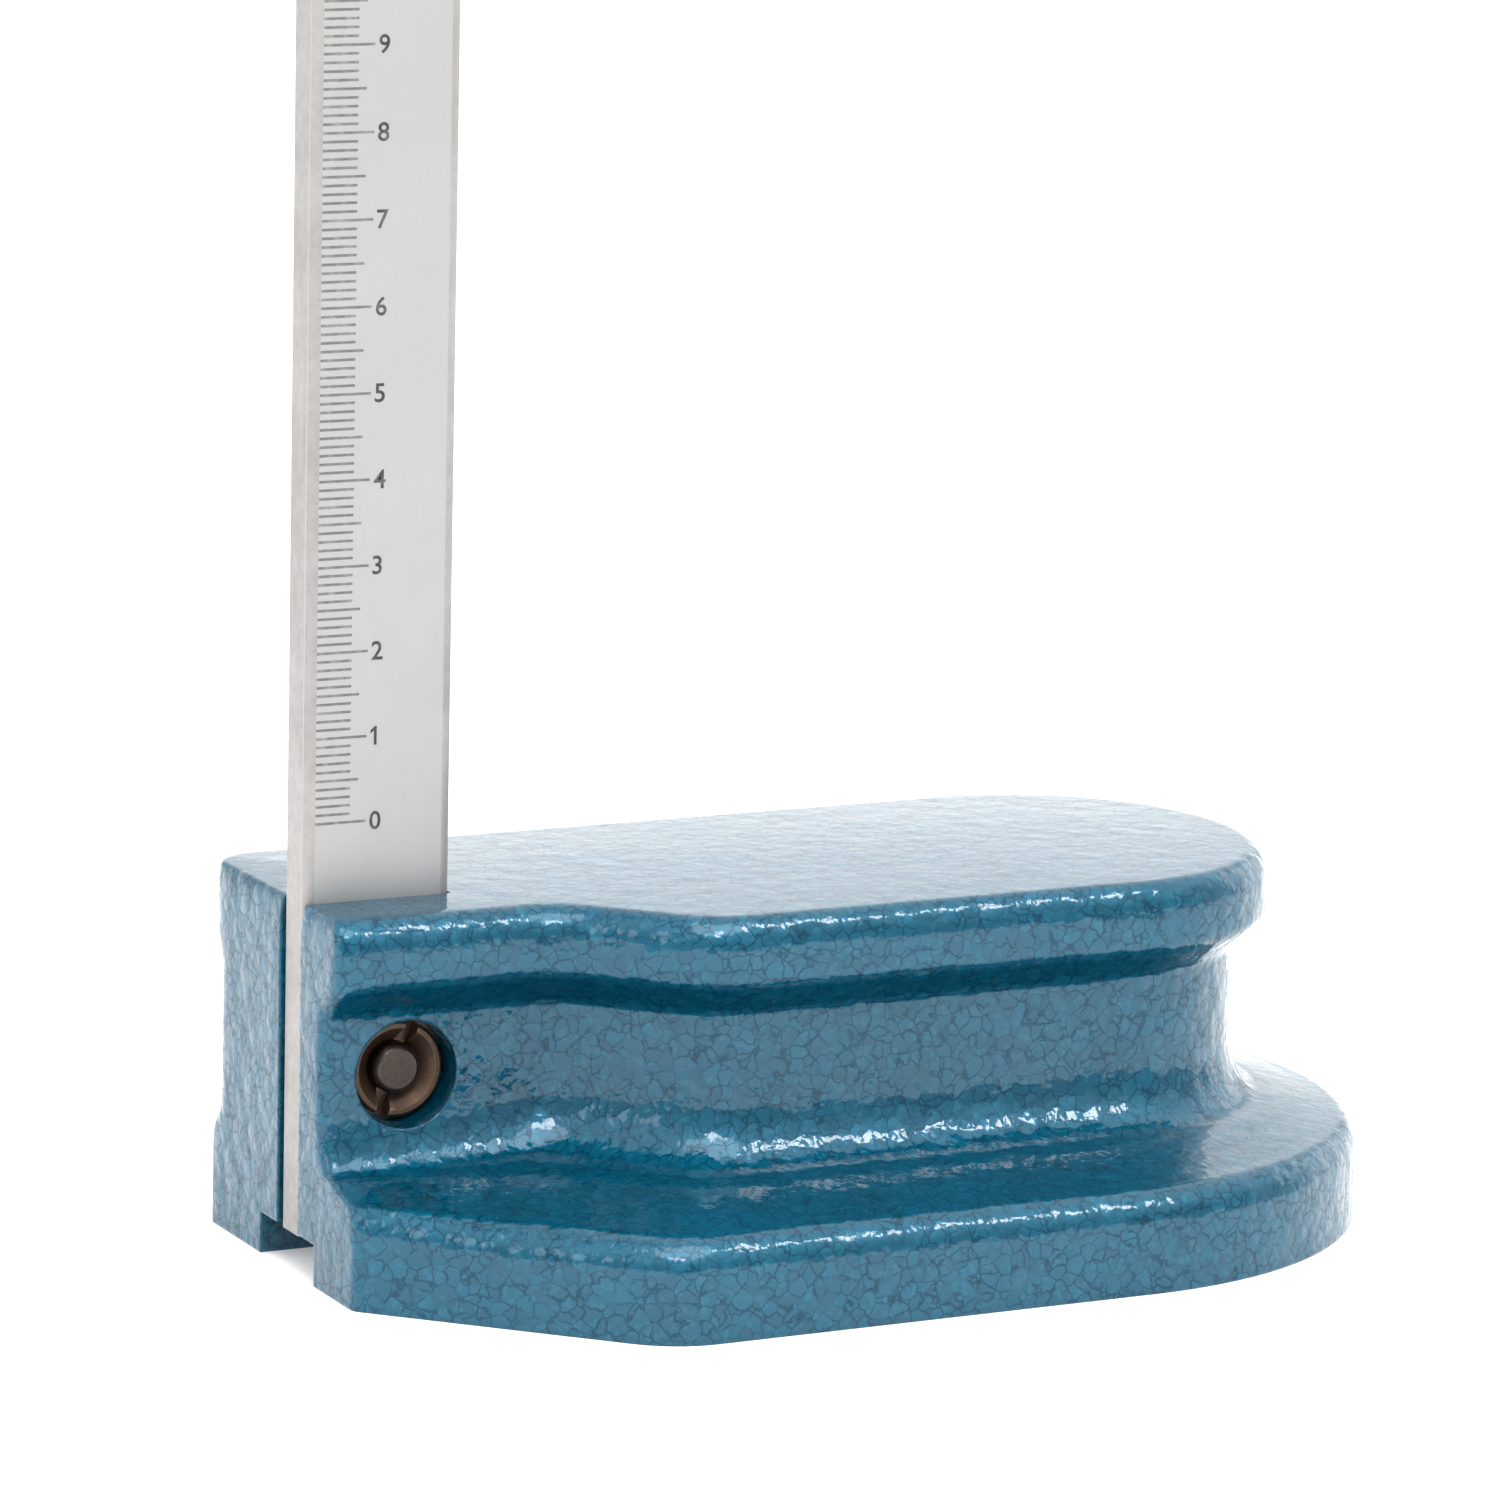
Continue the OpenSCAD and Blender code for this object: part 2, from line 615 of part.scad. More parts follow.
module fine_feed_screw() color("silver") difference() {
    proud = 3;
    chamfer = 0.5;
    top_z = carriage_z1 + feed_travel + proud;
    foot_z = slider_z1 - feed_grip + run_gap;
    union() {
        translate([feed_x, 0, foot_z]) cylinder(d = feed_d, h = top_z - chamfer - foot_z);
        translate([feed_x, 0, top_z - chamfer])
            cylinder(d1 = feed_d, d2 = feed_d - 2 * chamfer, h = chamfer);
    }
    along_y(feed_x, -lug_t, pin_z) cylinder(r = pin_d / 2 + screw_gap, h = 2 * lug_t);
}

module fine_feed_pin() color("dimgray")
    along_y(feed_x, -lug_t / 2 + run_gap, pin_z) cylinder(d = pin_d, h = lug_t - 2 * run_gap);

module fine_feed_nut() color("silver") difference() {
    collar = 0.8;
    translate([feed_x, 0, feed_mid_z - feed_nut_h / 2]) {
        cylinder(d1 = feed_nut_d - 2.6, d2 = feed_nut_d - 1.4, h = collar + eps);
        translate([0, 0, collar]) knurled(feed_nut_d, feed_nut_h - 2 * collar);
        translate([0, 0, feed_nut_h - collar - eps])
            cylinder(d1 = feed_nut_d - 1.4, d2 = feed_nut_d - 2.6, h = collar);
    }
    translate([feed_x, 0, carriage_z0]) cylinder(r = feed_d / 2 + screw_gap, h = carriage_h);
}

module carriage_block()
    block([slider_x0, slider_y0, carriage_z0], [carriage_x1, slider_y1, carriage_z1], edge);

module carriage() color("gainsboro") difference() {
    union() {
        difference() {
            carriage_block();
            keeper_room(carriage_x1 + over, carriage_z0, carriage_z1);
        }
        box([carriage_x1, -lug_t / 2, carriage_z0 + edge], [feed_x, lug_t / 2, carriage_z1 - edge]);
        box([carriage_x1 - over, -lug_t / 2, carriage_z0 + edge], [feed_x, chan_y, carriage_z1 - edge]);
        translate([feed_x, 0, carriage_z0 + edge]) cylinder(d = lug_t, h = carriage_h - 2 * edge);
    }
    box([chan_x0, -chan_y, carriage_z0 - over], [gib_x0, chan_y + over, carriage_z1 + over]);
    // Window over the scale
    box([beam_x0 + bevel_w, slider_y0 - over, carriage_z0 + bridge_h],
        [beam_x0 + window_w, 0, carriage_z1 - bridge_h]);
    // Slot and clearance bore for the fine-feed nut and screw
    box([carriage_x1, -lug_t, feed_mid_z - feed_nut_h / 2 - nut_gap],
        [feed_x + lug_t, lug_t, feed_mid_z + feed_nut_h / 2 + nut_gap]);
    translate([feed_x, 0, carriage_z0 - over]) cylinder(r = feed_d / 2 + nut_gap, h = carriage_h + 2 * over);
    // Tapped holes for the clamp screw with its pad, and for the keeper screws
    along_x(slider_x0 - over, 0, feed_mid_z) thumb_hole(slider_front + 2 * over);
    keeper_holes(carriage_keeper_x, carriage_keeper_z);
}

module carriage_keeper() color("gainsboro") difference() {
    intersection() {
        carriage_block();
        keeper_room(carriage_x1 + over, carriage_z0, carriage_z1);
    }
    keeper_holes(carriage_keeper_x, carriage_keeper_z);
}

module carriage_keeper_screws() color("dimgray") keeper_screws(carriage_keeper_x, carriage_keeper_z);

module carriage_clamp_pad() color("darkgoldenrod")
    along_x(chan_x0 - pad_l, 0, feed_mid_z) cylinder(d = thumb_screw_d, h = pad_l);

module carriage_clamp_screw() color("silver")
    translate([chan_x0 - pad_l - run_gap, 0, feed_mid_z]) rotate([0, -90, 0])
        thumb_screw(slider_front - pad_l + 1.5);

// Scriber

// Side view of the scriber with its hard tip, in X and Z
module scriber_side() {
    slope_x = shank_x0 - 6;
    polygon([[shank_x1, shank_z0], [shank_x1, shank_z1], [slope_x, shank_z1], [nose_x0, edge_z + 0.3],
             [nose_x0, edge_z], [shank_x0 - shank_lift, edge_z], [shank_x0, shank_z0]]);
}

// Plan of the scriber, narrowing to the chisel edge on the scale side
module scriber_plan() {
    taper_x = shank_x0 - 10;
    polygon([[shank_x1, -arm_t / 2], [shank_x1, arm_t / 2], [taper_x, arm_t / 2],
             [nose_x0, -arm_t / 2 + edge_w], [nose_x0, -arm_t / 2]]);
}

module scriber_solid() intersection() {
    translate([0, arm_t / 2, 0]) rotate([90, 0, 0]) linear_extrude(arm_t) scriber_side();
    translate([0, 0, edge_z - over]) linear_extrude(shank_z1 - edge_z + 2 * over) scriber_plan();
}

module tip_pocket() box([nose_x0 - over, -arm_t, edge_z - over], [nose_x0 + tip_l, arm_t, edge_z + tip_h]);

module scriber() color("silver") difference() {
    scriber_solid();
    tip_pocket();
}

module scriber_tip() color("slategray") intersection() {
    scriber_solid();
    tip_pocket();
}

module scriber_clamp() color("gainsboro") difference() {
    block([yoke_xm - yoke_l / 2, -yoke_y1, yoke_z0], [yoke_xm + yoke_l / 2, yoke_y1, yoke_z1], edge);
    box([yoke_xm - yoke_l, -yoke_y0, yoke_z0 + yoke_floor], [yoke_xm + yoke_l, yoke_y0, yoke_room_z]);
    translate([yoke_xm, 0, yoke_room_z - over]) thumb_hole(yoke_roof + 2 * over);
}

module scriber_clamp_screw() color("silver")
    translate([yoke_xm, 0, jaw_z1 + run_gap]) thumb_screw(yoke_room + yoke_roof + 1.4);

module place() translate([-origin_x, 0, 0]) children();

place() base();
place() beam();
place() beam_clamp_stud();
place() beam_clamp_nut();
place() beam_stop_screw();
place() slider();
place() slider_keeper();
place() slider_keeper_screws();
place() vernier_plate();
place() vernier_screws();
place() slider_gib();
place() slider_gib_screws();
place() slider_clamp_screw();
place() fine_feed_screw();
place() fine_feed_pin();
place() fine_feed_nut();
place() carriage();
place() carriage_keeper();
place() carriage_keeper_screws();
place() carriage_clamp_pad();
place() carriage_clamp_screw();
place() scriber();
place() scriber_tip();
place() scriber_clamp();
place() scriber_clamp_screw();
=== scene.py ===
"""A vernier height gauge: enamelled base, graduated beam, vernier slider with fine feed, and scriber."""
import json
import math

import bmesh
import bpy
from mathutils import Matrix, Vector


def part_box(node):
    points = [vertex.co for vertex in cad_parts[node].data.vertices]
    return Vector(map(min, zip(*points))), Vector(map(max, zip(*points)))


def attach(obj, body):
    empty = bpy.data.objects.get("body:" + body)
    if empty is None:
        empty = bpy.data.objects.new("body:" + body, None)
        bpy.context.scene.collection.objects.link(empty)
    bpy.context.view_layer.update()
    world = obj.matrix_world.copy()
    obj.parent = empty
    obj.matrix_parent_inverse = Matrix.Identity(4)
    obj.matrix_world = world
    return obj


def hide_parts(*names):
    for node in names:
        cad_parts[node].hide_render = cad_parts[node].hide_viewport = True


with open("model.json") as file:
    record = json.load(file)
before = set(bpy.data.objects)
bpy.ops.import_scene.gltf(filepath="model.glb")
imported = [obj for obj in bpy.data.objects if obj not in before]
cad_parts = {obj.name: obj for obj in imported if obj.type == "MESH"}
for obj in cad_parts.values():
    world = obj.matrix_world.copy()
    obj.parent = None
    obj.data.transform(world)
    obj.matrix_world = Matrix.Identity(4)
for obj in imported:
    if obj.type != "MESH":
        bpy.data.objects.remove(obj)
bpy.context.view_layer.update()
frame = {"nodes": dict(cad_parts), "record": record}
scene = bpy.context.scene
scene.view_settings.view_transform = "Standard"
body_of = {}
for body, members in frame["record"]["behaviour"]["bodies"].items():
    for member in members:
        body_of[member] = body

MM = 0.001
ORIGIN_X = 24.6
UP = Vector((0, 0, 1))


def at(x, y, z):
    """A point in millimetres from the base's front face, the beam's middle and the surface plate."""
    return Vector(((x - ORIGIN_X) * MM, y * MM, z * MM))


# Camera

CAMERA_SPOT = Vector((-0.352299, -0.772804, 0.233124))
CAMERA_YAW = -0.464013
CAMERA_PITCH = 0.200017
CAMERA_ROLL = 0.0233
CAMERA_LENS = 177.87


def set_camera():
    """The photograph's viewpoint: turned about Z, pitched down and rolled a little."""
    side = Vector((math.cos(CAMERA_YAW), math.sin(CAMERA_YAW), 0))
    ahead = Vector((-math.sin(CAMERA_YAW), math.cos(CAMERA_YAW), 0))
    look = ahead * math.cos(CAMERA_PITCH) - UP * math.sin(CAMERA_PITCH)
    rise = UP * math.cos(CAMERA_PITCH) + ahead * math.sin(CAMERA_PITCH)
    right = side * math.cos(CAMERA_ROLL) + rise * math.sin(CAMERA_ROLL)
    top = rise * math.cos(CAMERA_ROLL) - side * math.sin(CAMERA_ROLL)
    lens = bpy.data.cameras.new("camera")
    lens.lens = CAMERA_LENS
    lens.sensor_width = 36
    lens.clip_start = 0.02
    lens.clip_end = 30
    camera = bpy.data.objects.new("camera", lens)
    scene.collection.objects.link(camera)
    turn = Matrix((right, top, -look)).transposed().to_4x4()
    camera.matrix_world = Matrix.Translation(CAMERA_SPOT) @ turn
    scene.camera = camera


# Shader nodes

def join_up(tree, value, socket):
    """Links a socket, or sets a plain value."""
    if isinstance(value, bpy.types.NodeSocket):
        tree.links.new(value, socket)
    else:
        socket.default_value = value


def node(tree, kind, inputs=None, **settings):
    """A node with its settings, and its inputs by name or number, linked or set."""
    made = tree.nodes.new(kind)
    for name, value in settings.items():
        setattr(made, name, value)
    for name, value in (inputs or {}).items():
        join_up(tree, value, made.inputs[name])
    return made


def sums(tree, operation, a, b=0.0):
    """The result of one sum on one or two values."""
    return node(tree, "ShaderNodeMath", {0: a, 1: b}, operation=operation).outputs[0]


def ranged(tree, value, low, high, to_low=0.0, to_high=1.0):
    """A value carried smoothly from one range to another."""
    limits = {"Value": value, "From Min": low, "From Max": high, "To Min": to_low, "To Max": to_high}
    return node(tree, "ShaderNodeMapRange", limits, interpolation_type="SMOOTHSTEP").outputs["Result"]


def blended(tree, factor, first, second):
    """A colour between two colours."""
    return node(tree, "ShaderNodeMix", {0: factor, 6: first, 7: second}, data_type="RGBA").outputs[2]


def colour(red, green, blue):
    """A colour as the eye reads it, 0 to 255, as a linear colour."""
    linear = []
    for part in (red, green, blue):
        share = part / 255
        linear.append(share / 12.92 if share < 0.04045 else ((share + 0.055) / 1.055) ** 2.4)
    return (*linear, 1.0)


def effect(name, inputs, outputs):
    """An empty shader group with named inputs and outputs."""
    tree = bpy.data.node_groups.new(name, "ShaderNodeTree")
    for label, kind, value in inputs:
        tree.interface.new_socket(label, in_out="INPUT", socket_type=kind).default_value = value
    for label in outputs:
        tree.interface.new_socket(label, in_out="OUTPUT", socket_type="NodeSocketFloat")
    return tree, tree.nodes.new("NodeGroupInput").outputs, tree.nodes.new("NodeGroupOutput").inputs


def make_hammer_cells():
    """The cells of a hammered enamel: thin broken cracks, domed middles and a tone for each cell."""
    tree, given, result = effect(
        "hammer cells",
        [("Place", "NodeSocketVector", (0, 0, 0)), ("Cell", "NodeSocketFloat", 0.002)],
        ["Crack", "Dome", "Tone"],
    )
    pace = sums(tree, "DIVIDE", 1.0, given["Cell"])
    spread = node(
        tree, "ShaderNodeVectorMath", {0: given["Place"], "Scale": pace}, operation="SCALE"
    ).outputs[0]
    drift = node(tree, "ShaderNodeTexNoise", {"Vector": spread, "Scale": 1.1, "Detail": 2.0}).outputs["Color"]
    bent = node(
        tree, "ShaderNodeVectorMath", {0: drift, 1: (0.9, 0.9, 0.9), 2: spread}, operation="MULTIPLY_ADD"
    ).outputs[0]
    edge = node(
        tree, "ShaderNodeTexVoronoi", {"Vector": bent, "Scale": 1.0}, feature="DISTANCE_TO_EDGE"
    ).outputs["Distance"]
    heart = node(tree, "ShaderNodeTexVoronoi", {"Vector": bent, "Scale": 1.0}, feature="F1")
    broken = node(tree, "ShaderNodeTexNoise", {"Vector": spread, "Scale": 0.6, "Detail": 2.0}).outputs["Fac"]
    line = ranged(tree, edge, 0.015, 0.085, 1.0, 0.0)
    join_up(tree, sums(tree, "MULTIPLY", line, ranged(tree, broken, 0.28, 0.55)), result["Crack"])
    dome = node(
        tree, "ShaderNodeTexVoronoi", {"Vector": bent, "Scale": 1.0, "Smoothness": 0.6}, feature="SMOOTH_F1"
    ).outputs["Distance"]
    join_up(tree, sums(tree, "SUBTRACT", 1.0, dome), result["Dome"])
    split = node(tree, "ShaderNodeSeparateColor", {"Color": heart.outputs["Color"]})
    join_up(tree, split.outputs["Red"], result["Tone"])
    return tree


def make_ground_grain():
    """The lay of a ground surface: fine lines, cloudy patches and a few pits."""
    tree, given, result = effect(
        "ground grain",
        [("Place", "NodeSocketVector", (0, 0, 0)), ("Lines", "NodeSocketVector", (9000, 9000, 300))],
        ["Line", "Patch", "Pit"],
    )
    drawn = node(
        tree, "ShaderNodeVectorMath", {0: given["Place"], 1: given["Lines"]}, operation="MULTIPLY"
    ).outputs[0]
    line = node(tree, "ShaderNodeTexNoise", {"Vector": drawn, "Scale": 1.0, "Detail": 4.0, "Roughness": 0.65})
    patch = node(tree, "ShaderNodeTexNoise", {"Vector": given["Place"], "Scale": 110.0, "Detail": 4.0})
    pit = node(tree, "ShaderNodeTexNoise", {"Vector": given["Place"], "Scale": 2300.0, "Detail": 1.0})
    join_up(tree, line.outputs["Fac"], result["Line"])
    join_up(tree, ranged(tree, patch.outputs["Fac"], 0.35, 0.65), result["Patch"])
    join_up(tree, ranged(tree, pit.outputs["Fac"], 0.66, 0.78), result["Pit"])
    return tree


def make_rubbed_edge():
    """Where edges are rubbed bright: the turn of the surface within a small radius, broken up."""
    tree, given, result = effect(
        "rubbed edge",
        [("Place", "NodeSocketVector", (0, 0, 0)), ("Radius", "NodeSocketFloat", 0.0004)],
        ["Edge"],
    )
    eased = node(tree, "ShaderNodeBevel", {"Radius": given["Radius"]}, samples=6).outputs["Normal"]
    flat = node(tree, "ShaderNodeNewGeometry").outputs["Normal"]
    agree = node(tree, "ShaderNodeVectorMath", {0: eased, 1: flat}, operation="DOT_PRODUCT").outputs["Value"]
    uneven = node(tree, "ShaderNodeTexNoise", {"Vector": given["Place"], "Scale": 900.0, "Detail": 3.0})
    turned_away = ranged(tree, agree, 0.86, 0.995, 1.0, 0.0)
    share = ranged(tree, uneven.outputs["Fac"], 0.34, 0.6)
    join_up(tree, sums(tree, "MULTIPLY", turned_away, share), result["Edge"])
    return tree


hammer_cells = make_hammer_cells()
ground_grain = make_ground_grain()
rubbed_edge = make_rubbed_edge()


def blank(name, **fixed):
    """A material, its tree, the piece's own coordinates and the shader's inputs, with fixed values set."""
    material = bpy.data.materials.new(name)
    material.use_nodes = True
    tree = material.node_tree
    surface = tree.nodes["Principled BSDF"].inputs
    for socket, value in fixed.items():
        surface[socket.replace("_", " ")].default_value = value
    place = node(tree, "ShaderNodeTexCoord").outputs["Object"]
    return material, tree, place, surface


def use(tree, group, **inputs):
    """A shader group's outputs, placed in a material with its own values."""
    return node(tree, "ShaderNodeGroup", inputs, node_tree=group).outputs


HAMMER_CELL = 0.0018
FLAKE_CELL = 0.0007
PAINT_RELIEF = 0.00021
PAINT_EDGE = 0.0005


def make_enamel():
    """Teal hammertone enamel: a flaked, cracked and dimpled paint under a clear gloss."""
    material, tree, place, surface = blank(
        "hammertone_enamel", Metallic=0.5, Specular_IOR_Level=0.0, Coat_Roughness=0.06, Coat_IOR=1.5
    )
    cells = use(tree, hammer_cells, Place=place, Cell=HAMMER_CELL)
    flakes = use(tree, hammer_cells, Place=place, Cell=FLAKE_CELL)
    cloud = node(tree, "ShaderNodeTexNoise", {"Vector": place, "Scale": 60.0, "Detail": 3.0}).outputs["Fac"]
    tone = sums(tree, "ADD", sums(tree, "MULTIPLY", cells["Tone"], 0.4), sums(tree, "MULTIPLY", cloud, 0.6))
    skin = blended(tree, tone, colour(0, 69, 92), colour(0, 92, 120))
    pale = sums(tree, "MULTIPLY", ranged(tree, flakes["Tone"], 0.7, 0.95), 0.12)
    flecked = blended(tree, pale, skin, colour(50, 140, 158))
    crack = sums(tree, "MULTIPLY", cells["Crack"], 0.7)
    cracked = blended(tree, crack, flecked, colour(0, 50, 72))
    join_up(tree, cracked, surface["Base Color"])
    join_up(tree, ranged(tree, cloud, 0.3, 0.7, 0.36, 0.46), surface["Roughness"])
    wave = node(tree, "ShaderNodeTexNoise", {"Vector": place, "Scale": 290.0, "Detail": 0.0}).outputs["Fac"]
    ripple = node(tree, "ShaderNodeTexNoise", {"Vector": place, "Scale": 850.0, "Detail": 1.0}).outputs["Fac"]
    swell = sums(tree, "ADD", sums(tree, "MULTIPLY", cells["Dome"], 0.5), wave)
    rough = sums(tree, "ADD", swell, sums(tree, "MULTIPLY", ripple, 0.3))
    facing = node(tree, "ShaderNodeNewGeometry").outputs["Normal"]
    upward = node(tree, "ShaderNodeSeparateXYZ", {0: facing}).outputs["Z"]
    flow = ranged(tree, upward, 0.85, 0.995, 1.0, 0.4)
    relief = sums(tree, "MULTIPLY", rough, flow)
    open_crack = sums(tree, "MULTIPLY", sums(tree, "MULTIPLY", cells["Crack"], 0.32), flow)
    join_up(tree, sums(tree, "SUBTRACT", 1.0, open_crack), surface["Coat Weight"])
    eased = node(tree, "ShaderNodeBevel", {"Radius": PAINT_EDGE}, samples=6).outputs["Normal"]
    bump = node(
        tree, "ShaderNodeBump",
        {"Height": relief, "Distance": PAINT_RELIEF, "Strength": 1.0, "Normal": eased},
    ).outputs["Normal"]
    join_up(tree, bump, surface["Normal"])
    join_up(tree, bump, surface["Coat Normal"])
    return material


RUBBED_RADIUS = 0.0004


def make_steel(name, bright, dark, lines, dull, relief=0.000004, worn=None, metal=1.0, cloud=0.45):
    """A metal between two colours: its grinding lines along each axis, patches, pits and rubbed edges."""
    material, tree, place, surface = blank(name, Metallic=metal)
    grain = use(tree, ground_grain, Place=place, Lines=lines)
    drawn = sums(tree, "MULTIPLY", grain["Line"], 0.45)
    mix = sums(tree, "ADD", drawn, sums(tree, "MULTIPLY", grain["Patch"], cloud))
    body_colour = blended(tree, mix, bright, dark)
    pitted = blended(tree, sums(tree, "MULTIPLY", grain["Pit"], 0.4), body_colour, dark)
    finish = ranged(tree, grain["Line"], 0.3, 0.7, dull[0], dull[1])
    if worn:
        edge = use(tree, rubbed_edge, Place=place, Radius=RUBBED_RADIUS)["Edge"]
        pitted = blended(tree, edge, pitted, worn)
        finish = sums(tree, "SUBTRACT", finish, sums(tree, "MULTIPLY", edge, dull[0] * 0.4))
    join_up(tree, pitted, surface["Base Color"])
    join_up(tree, finish, surface["Roughness"])
    depth = sums(tree, "SUBTRACT", grain["Line"], sums(tree, "MULTIPLY", grain["Pit"], 0.6))
    bump = node(tree, "ShaderNodeBump", {"Height": depth, "Distance": relief, "Strength": 1.0})
    join_up(tree, bump.outputs["Normal"], surface["Normal"])
    return material


enamel = make_enamel()
lapped_iron = make_steel(
    "lapped_iron", colour(150, 150, 148), colour(96, 96, 96), (3000, 3000, 3000), (0.3, 0.5)
)
beam_steel = make_steel(
    "beam_steel", colour(177, 176, 175), colour(166, 166, 165), (9000, 9000, 260), (0.44, 0.52),
    relief=0.000002, metal=0.55, cloud=0.2,
)
# The beam's bevels and narrow faces: their own grinding lines, and darker colours than the beam's face that
# paint the shade on them.
bevel_steel = make_steel(
    "bevel_steel", colour(174, 171, 169), colour(140, 136, 133), (900, 900, 700), (0.4, 0.55),
    relief=0.000005, metal=0.55, cloud=0.3,
)
slider_steel = make_steel(
    "slider_steel", colour(160, 161, 162), colour(130, 131, 132), (5200, 5200, 380), (0.24, 0.38),
    worn=colour(190, 190, 189),
)
keeper_steel = make_steel(
    "keeper_steel", colour(144, 145, 146), colour(114, 115, 116), (380, 6000, 6000), (0.28, 0.42),
    worn=colour(180, 180, 179), cloud=0.3,
)
vernier_steel = make_steel(
    "vernier_steel", colour(182, 182, 180), colour(168, 168, 166), (2600, 2600, 2600), (0.42, 0.55),
    metal=0.6,
)
screw_steel = make_steel(
    "screw_steel", colour(120, 119, 116), colour(78, 77, 75), (3500, 3500, 3500), (0.26, 0.42),
    worn=colour(164, 163, 160),
)
stud_steel = make_steel(
    "stud_steel", colour(102, 92, 87), colour(66, 58, 55), (3000, 3000, 3000), (0.3, 0.5),
    worn=colour(214, 210, 205),
)
knurled_steel = make_steel(
    "knurled_steel", colour(152, 152, 151), colour(104, 104, 103), (2500, 2500, 2500), (0.2, 0.36),
    worn=colour(190, 190, 188),
)
blackened_steel = make_steel(
    "blackened_steel", colour(112, 87, 70), colour(62, 46, 37), (2600, 2600, 2600), (0.32, 0.5),
    relief=0.000008, worn=colour(124, 102, 86), metal=0.6,
)
hard_metal = make_steel(
    "hard_metal", colour(92, 94, 98), colour(64, 66, 70), (7000, 7000, 7000), (0.2, 0.32)
)
gib_brass = make_steel(
    "gib_brass", colour(170, 136, 72), colour(120, 92, 46), (500, 5000, 5000), (0.25, 0.42)
)


def make_scale_ink(name, deep, faded):
    """The dark filling of etched lines and figures, a little worn."""
    material, tree, place, surface = blank(name, Metallic=0.0, IOR=1.45)
    wear = node(tree, "ShaderNodeTexNoise", {"Vector": place, "Scale": 700.0, "Detail": 3.0}).outputs["Fac"]
    join_up(tree, blended(tree, ranged(tree, wear, 0.4, 0.75), deep, faded), surface["Base Color"])
    join_up(tree, ranged(tree, wear, 0.3, 0.7, 0.5, 0.7), surface["Roughness"])
    return material


line_ink = make_scale_ink("line_ink", colour(104, 104, 104), colour(140, 140, 139))
figure_ink = make_scale_ink("figure_ink", colour(52, 52, 53), colour(92, 92, 92))


# Studio

FLOOR_GLOW = 0.2
MIRRORED_GLOW = 0.3
FLOOR_REACH = 6.0


def make_floor():
    """A pale surface that shows white to the eye and to metal, and keeps the object's shadow."""
    material = bpy.data.materials.new("floor")
    material.use_nodes = True
    tree = material.node_tree
    tree.nodes.clear()
    ray = node(tree, "ShaderNodeLightPath").outputs
    eye = sums(tree, "MULTIPLY", ray["Is Camera Ray"], FLOOR_GLOW)
    mirror = sums(tree, "MULTIPLY", ray["Is Glossy Ray"], MIRRORED_GLOW)
    glow = node(tree, "ShaderNodeEmission", {"Strength": sums(tree, "ADD", eye, mirror)}).outputs[0]
    matt = node(tree, "ShaderNodeBsdfDiffuse", {"Color": (0.86, 0.86, 0.86, 1)}).outputs[0]
    both = node(tree, "ShaderNodeAddShader", {0: glow, 1: matt}).outputs[0]
    node(tree, "ShaderNodeOutputMaterial", {"Surface": both})
    mesh = bpy.data.meshes.new("floor")
    corners = [(x * FLOOR_REACH, y * FLOOR_REACH, 0) for x, y in ((-1, -1), (1, -1), (1, 1), (-1, 1))]
    mesh.from_pydata(corners, [], [(0, 1, 2, 3)])
    mesh.materials.append(material)
    floor = bpy.data.objects.new("floor", mesh)
    scene.collection.objects.link(floor)


def make_sky():
    """White at the back and sides, dim in front where the room is, and brightest overhead."""
    world = bpy.data.worlds.new("studio")
    scene.world = world
    world.use_nodes = True
    tree = world.node_tree
    tree.nodes.clear()
    direction = node(tree, "ShaderNodeTexCoord").outputs["Generated"]
    way = node(tree, "ShaderNodeSeparateXYZ", {0: direction}).outputs
    low = ranged(tree, way["Y"], -0.7, 0.3, 0.65, 1.28)
    overhead = ranged(tree, way["Z"], 0.25, 0.8)
    level = sums(tree, "ADD", low, sums(tree, "MULTIPLY", overhead, sums(tree, "SUBTRACT", 1.5, low)))
    seen = node(tree, "ShaderNodeLightPath").outputs["Is Camera Ray"]
    strength = sums(tree, "MAXIMUM", level, seen)
    sky = node(tree, "ShaderNodeBackground", {"Color": (1, 1, 1, 1), "Strength": strength}).outputs[0]
    node(tree, "ShaderNodeOutputWorld", {"Surface": sky})


LIT_SPOT = Vector((0, 0, 0.05))


def lamp(name, place, size, power):
    """A round soft lamp that faces the object."""
    light = bpy.data.lights.new(name, "AREA")
    light.shape = "DISK"
    light.size = size
    light.energy = power
    made = bpy.data.objects.new(name, light)
    scene.collection.objects.link(made)
    aim = LIT_SPOT - Vector(place)
    made.matrix_world = Matrix.Translation(Vector(place)) @ aim.to_track_quat("-Z", "Y").to_matrix().to_4x4()


def light_studio():
    """Floor, sky and lamps."""
    make_floor()
    make_sky()
    lamp("left_softbox", (-1.6, -0.3, 0.7), 0.9, 4)
    lamp("top_softbox", (-0.1, -0.65, 1.4), 1.3, 11)
    lamp("back_softbox", (0.8, 2.1, 0.5), 2.2, 4.5)
    lamp("right_softbox", (2.2, 0.6, 0.6), 1.6, 5)
    lamp("front_lamp", (-0.3, -1.3, 1.5), 0.5, 6.5)
    lamp("right_lamp", (0.9, -0.9, 1.6), 0.35, 5)


# Meshes

def as_mesh(work, name):
    """A bmesh as a mesh with smooth faces and sharp edges."""
    mesh = bpy.data.meshes.new(name)
    work.to_mesh(mesh)
    work.free()
    mesh.shade_smooth()
    mesh.set_sharp_from_angle(angle=math.radians(33))
    return mesh


def evaluated(mesh, add_modifiers):
    """A mesh after the modifiers that a function adds."""
    holder = bpy.data.objects.new("holder", mesh)
    scene.collection.objects.link(holder)
    add_modifiers(holder)
    done = bpy.data.meshes.new_from_object(holder.evaluated_get(bpy.context.evaluated_depsgraph_get()))
    holder.modifiers.clear()
    bpy.data.objects.remove(holder)
    return done


